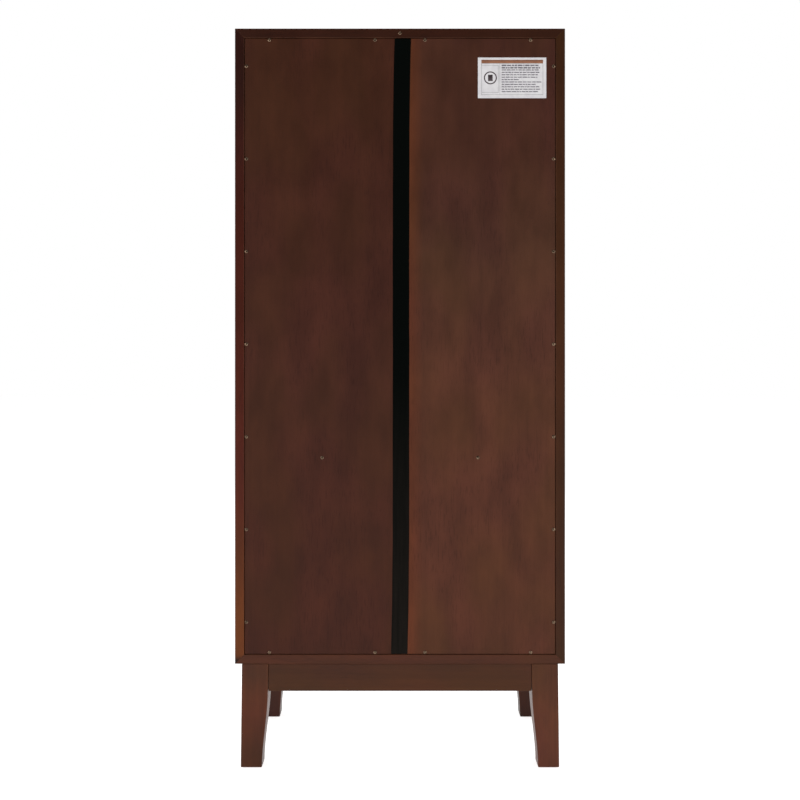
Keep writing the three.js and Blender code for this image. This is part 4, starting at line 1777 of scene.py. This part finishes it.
@dataclass(frozen=True)
class Studio:
    """A white studio: a pale floor, a white surround, soft lamps and the camera."""

    distance: float = 2.2
    eye: float = 0.845
    framed_height: float = 0.7967
    metres_per_frame: float = 1.729
    sensor: float = 36.0
    floor_half: float = 40.0
    surround: float = 0.25
    glow: float = 0.8
    lamps: tuple[Lamp, ...] = field(
        default=(
            Lamp("rear_right", (3.4, 2.4, 1.7), 55.0, 2.0),
            Lamp("rear_left", (-3.4, 2.4, 1.5), 62.0, 2.0),
            Lamp("front_right", (3.0, -3.0, 2.2), 75.0, 2.2),
            Lamp("front_left", (-3.0, -3.0, 1.8), 60.0, 2.2),
            Lamp("overhead", (0.0, 0.0, 4.2), 40.0, 3.0),
        )
    )

    def build(self) -> None:
        """Sets the floor, the surround, the lamps and the camera."""
        self.floor()
        self.world()
        for lamp in self.lamps:
            lamp.hang()
        self.camera()
        bpy.context.scene.view_settings.view_transform = "Standard"

    def floor(self) -> None:
        """A square floor at height 0, matt, pale, and lit from within like a light table."""
        half = self.floor_half
        mesh = bpy.data.meshes.new("floor")
        corners = [(-half, -half, 0), (half, -half, 0), (half, half, 0), (-half, half, 0)]
        mesh.from_pydata(corners, [], [(0, 1, 2, 3)])
        material, tree = empty_material("pale_floor")
        close_material(
            tree,
            {
                "Base Color": linear("#e8e8e8"),
                "Roughness": 0.9,
                "Specular IOR Level": 0.1,
                "Emission Color": linear("#ffffff"),
                "Emission Strength": self.glow,
            },
        )
        mesh.materials.append(material)
        floor = bpy.data.objects.new("floor", mesh)
        bpy.context.scene.collection.objects.link(floor)

    def world(self) -> None:
        """White where it is looked at, and dimmer where it lights things."""
        world = bpy.data.worlds.new("white_surround")
        bpy.context.scene.world = world
        world.use_nodes = True
        tree = world.node_tree
        tree.nodes.clear()
        white = linear("#ffffff")
        seen = add_node(tree, "LightPath", {}).outputs["Is Camera Ray"]
        dim = add_node(tree, "Background", {"Color": white, "Strength": self.surround})
        full = add_node(tree, "Background", {"Color": white, "Strength": 1.0})
        both = add_node(tree, "MixShader", {0: seen, 1: dim.outputs[0], 2: full.outputs[0]})
        add_node(tree, "OutputWorld", {"Surface": both.outputs[0]})

    def camera(self) -> None:
        """A level camera behind the cabinet, looking along -Y at its back."""
        data = bpy.data.cameras.new("camera")
        data.sensor_width = self.sensor
        data.lens = self.sensor * self.distance / self.metres_per_frame
        data.shift_y = (self.framed_height - self.eye) / self.metres_per_frame
        camera = bpy.data.objects.new("camera", data)
        back = span("side_right")[1].y
        camera.location = (0.0, back + self.distance, self.eye)
        camera.rotation_euler = (math.pi / 2, 0.0, math.pi)
        bpy.context.scene.collection.objects.link(camera)
        bpy.context.scene.camera = camera


def main() -> None:
    """Builds each sub-assembly in order, then the studio."""
    logging.basicConfig(level=logging.INFO, format="%(name)s: %(message)s")
    steel = Metal("blackened_steel", "#7a6553", "#43362c", 0.2).material()
    builders: list[tuple[str, Callable[[], None]]] = [
        ("carcass", Carcass().build),
        ("back", lambda: Back().build(steel)),
        ("label", Label().build),
        ("legs and aprons", Legs().build),
        ("shelves", lambda: Shelves().build(steel)),
        ("doors", lambda: Doors().build(steel)),
        ("studio", Studio().build),
    ]
    for name, build in builders:
        build()
        LOG.info("%s is done", name)


if __name__ == "__main__":
    main()
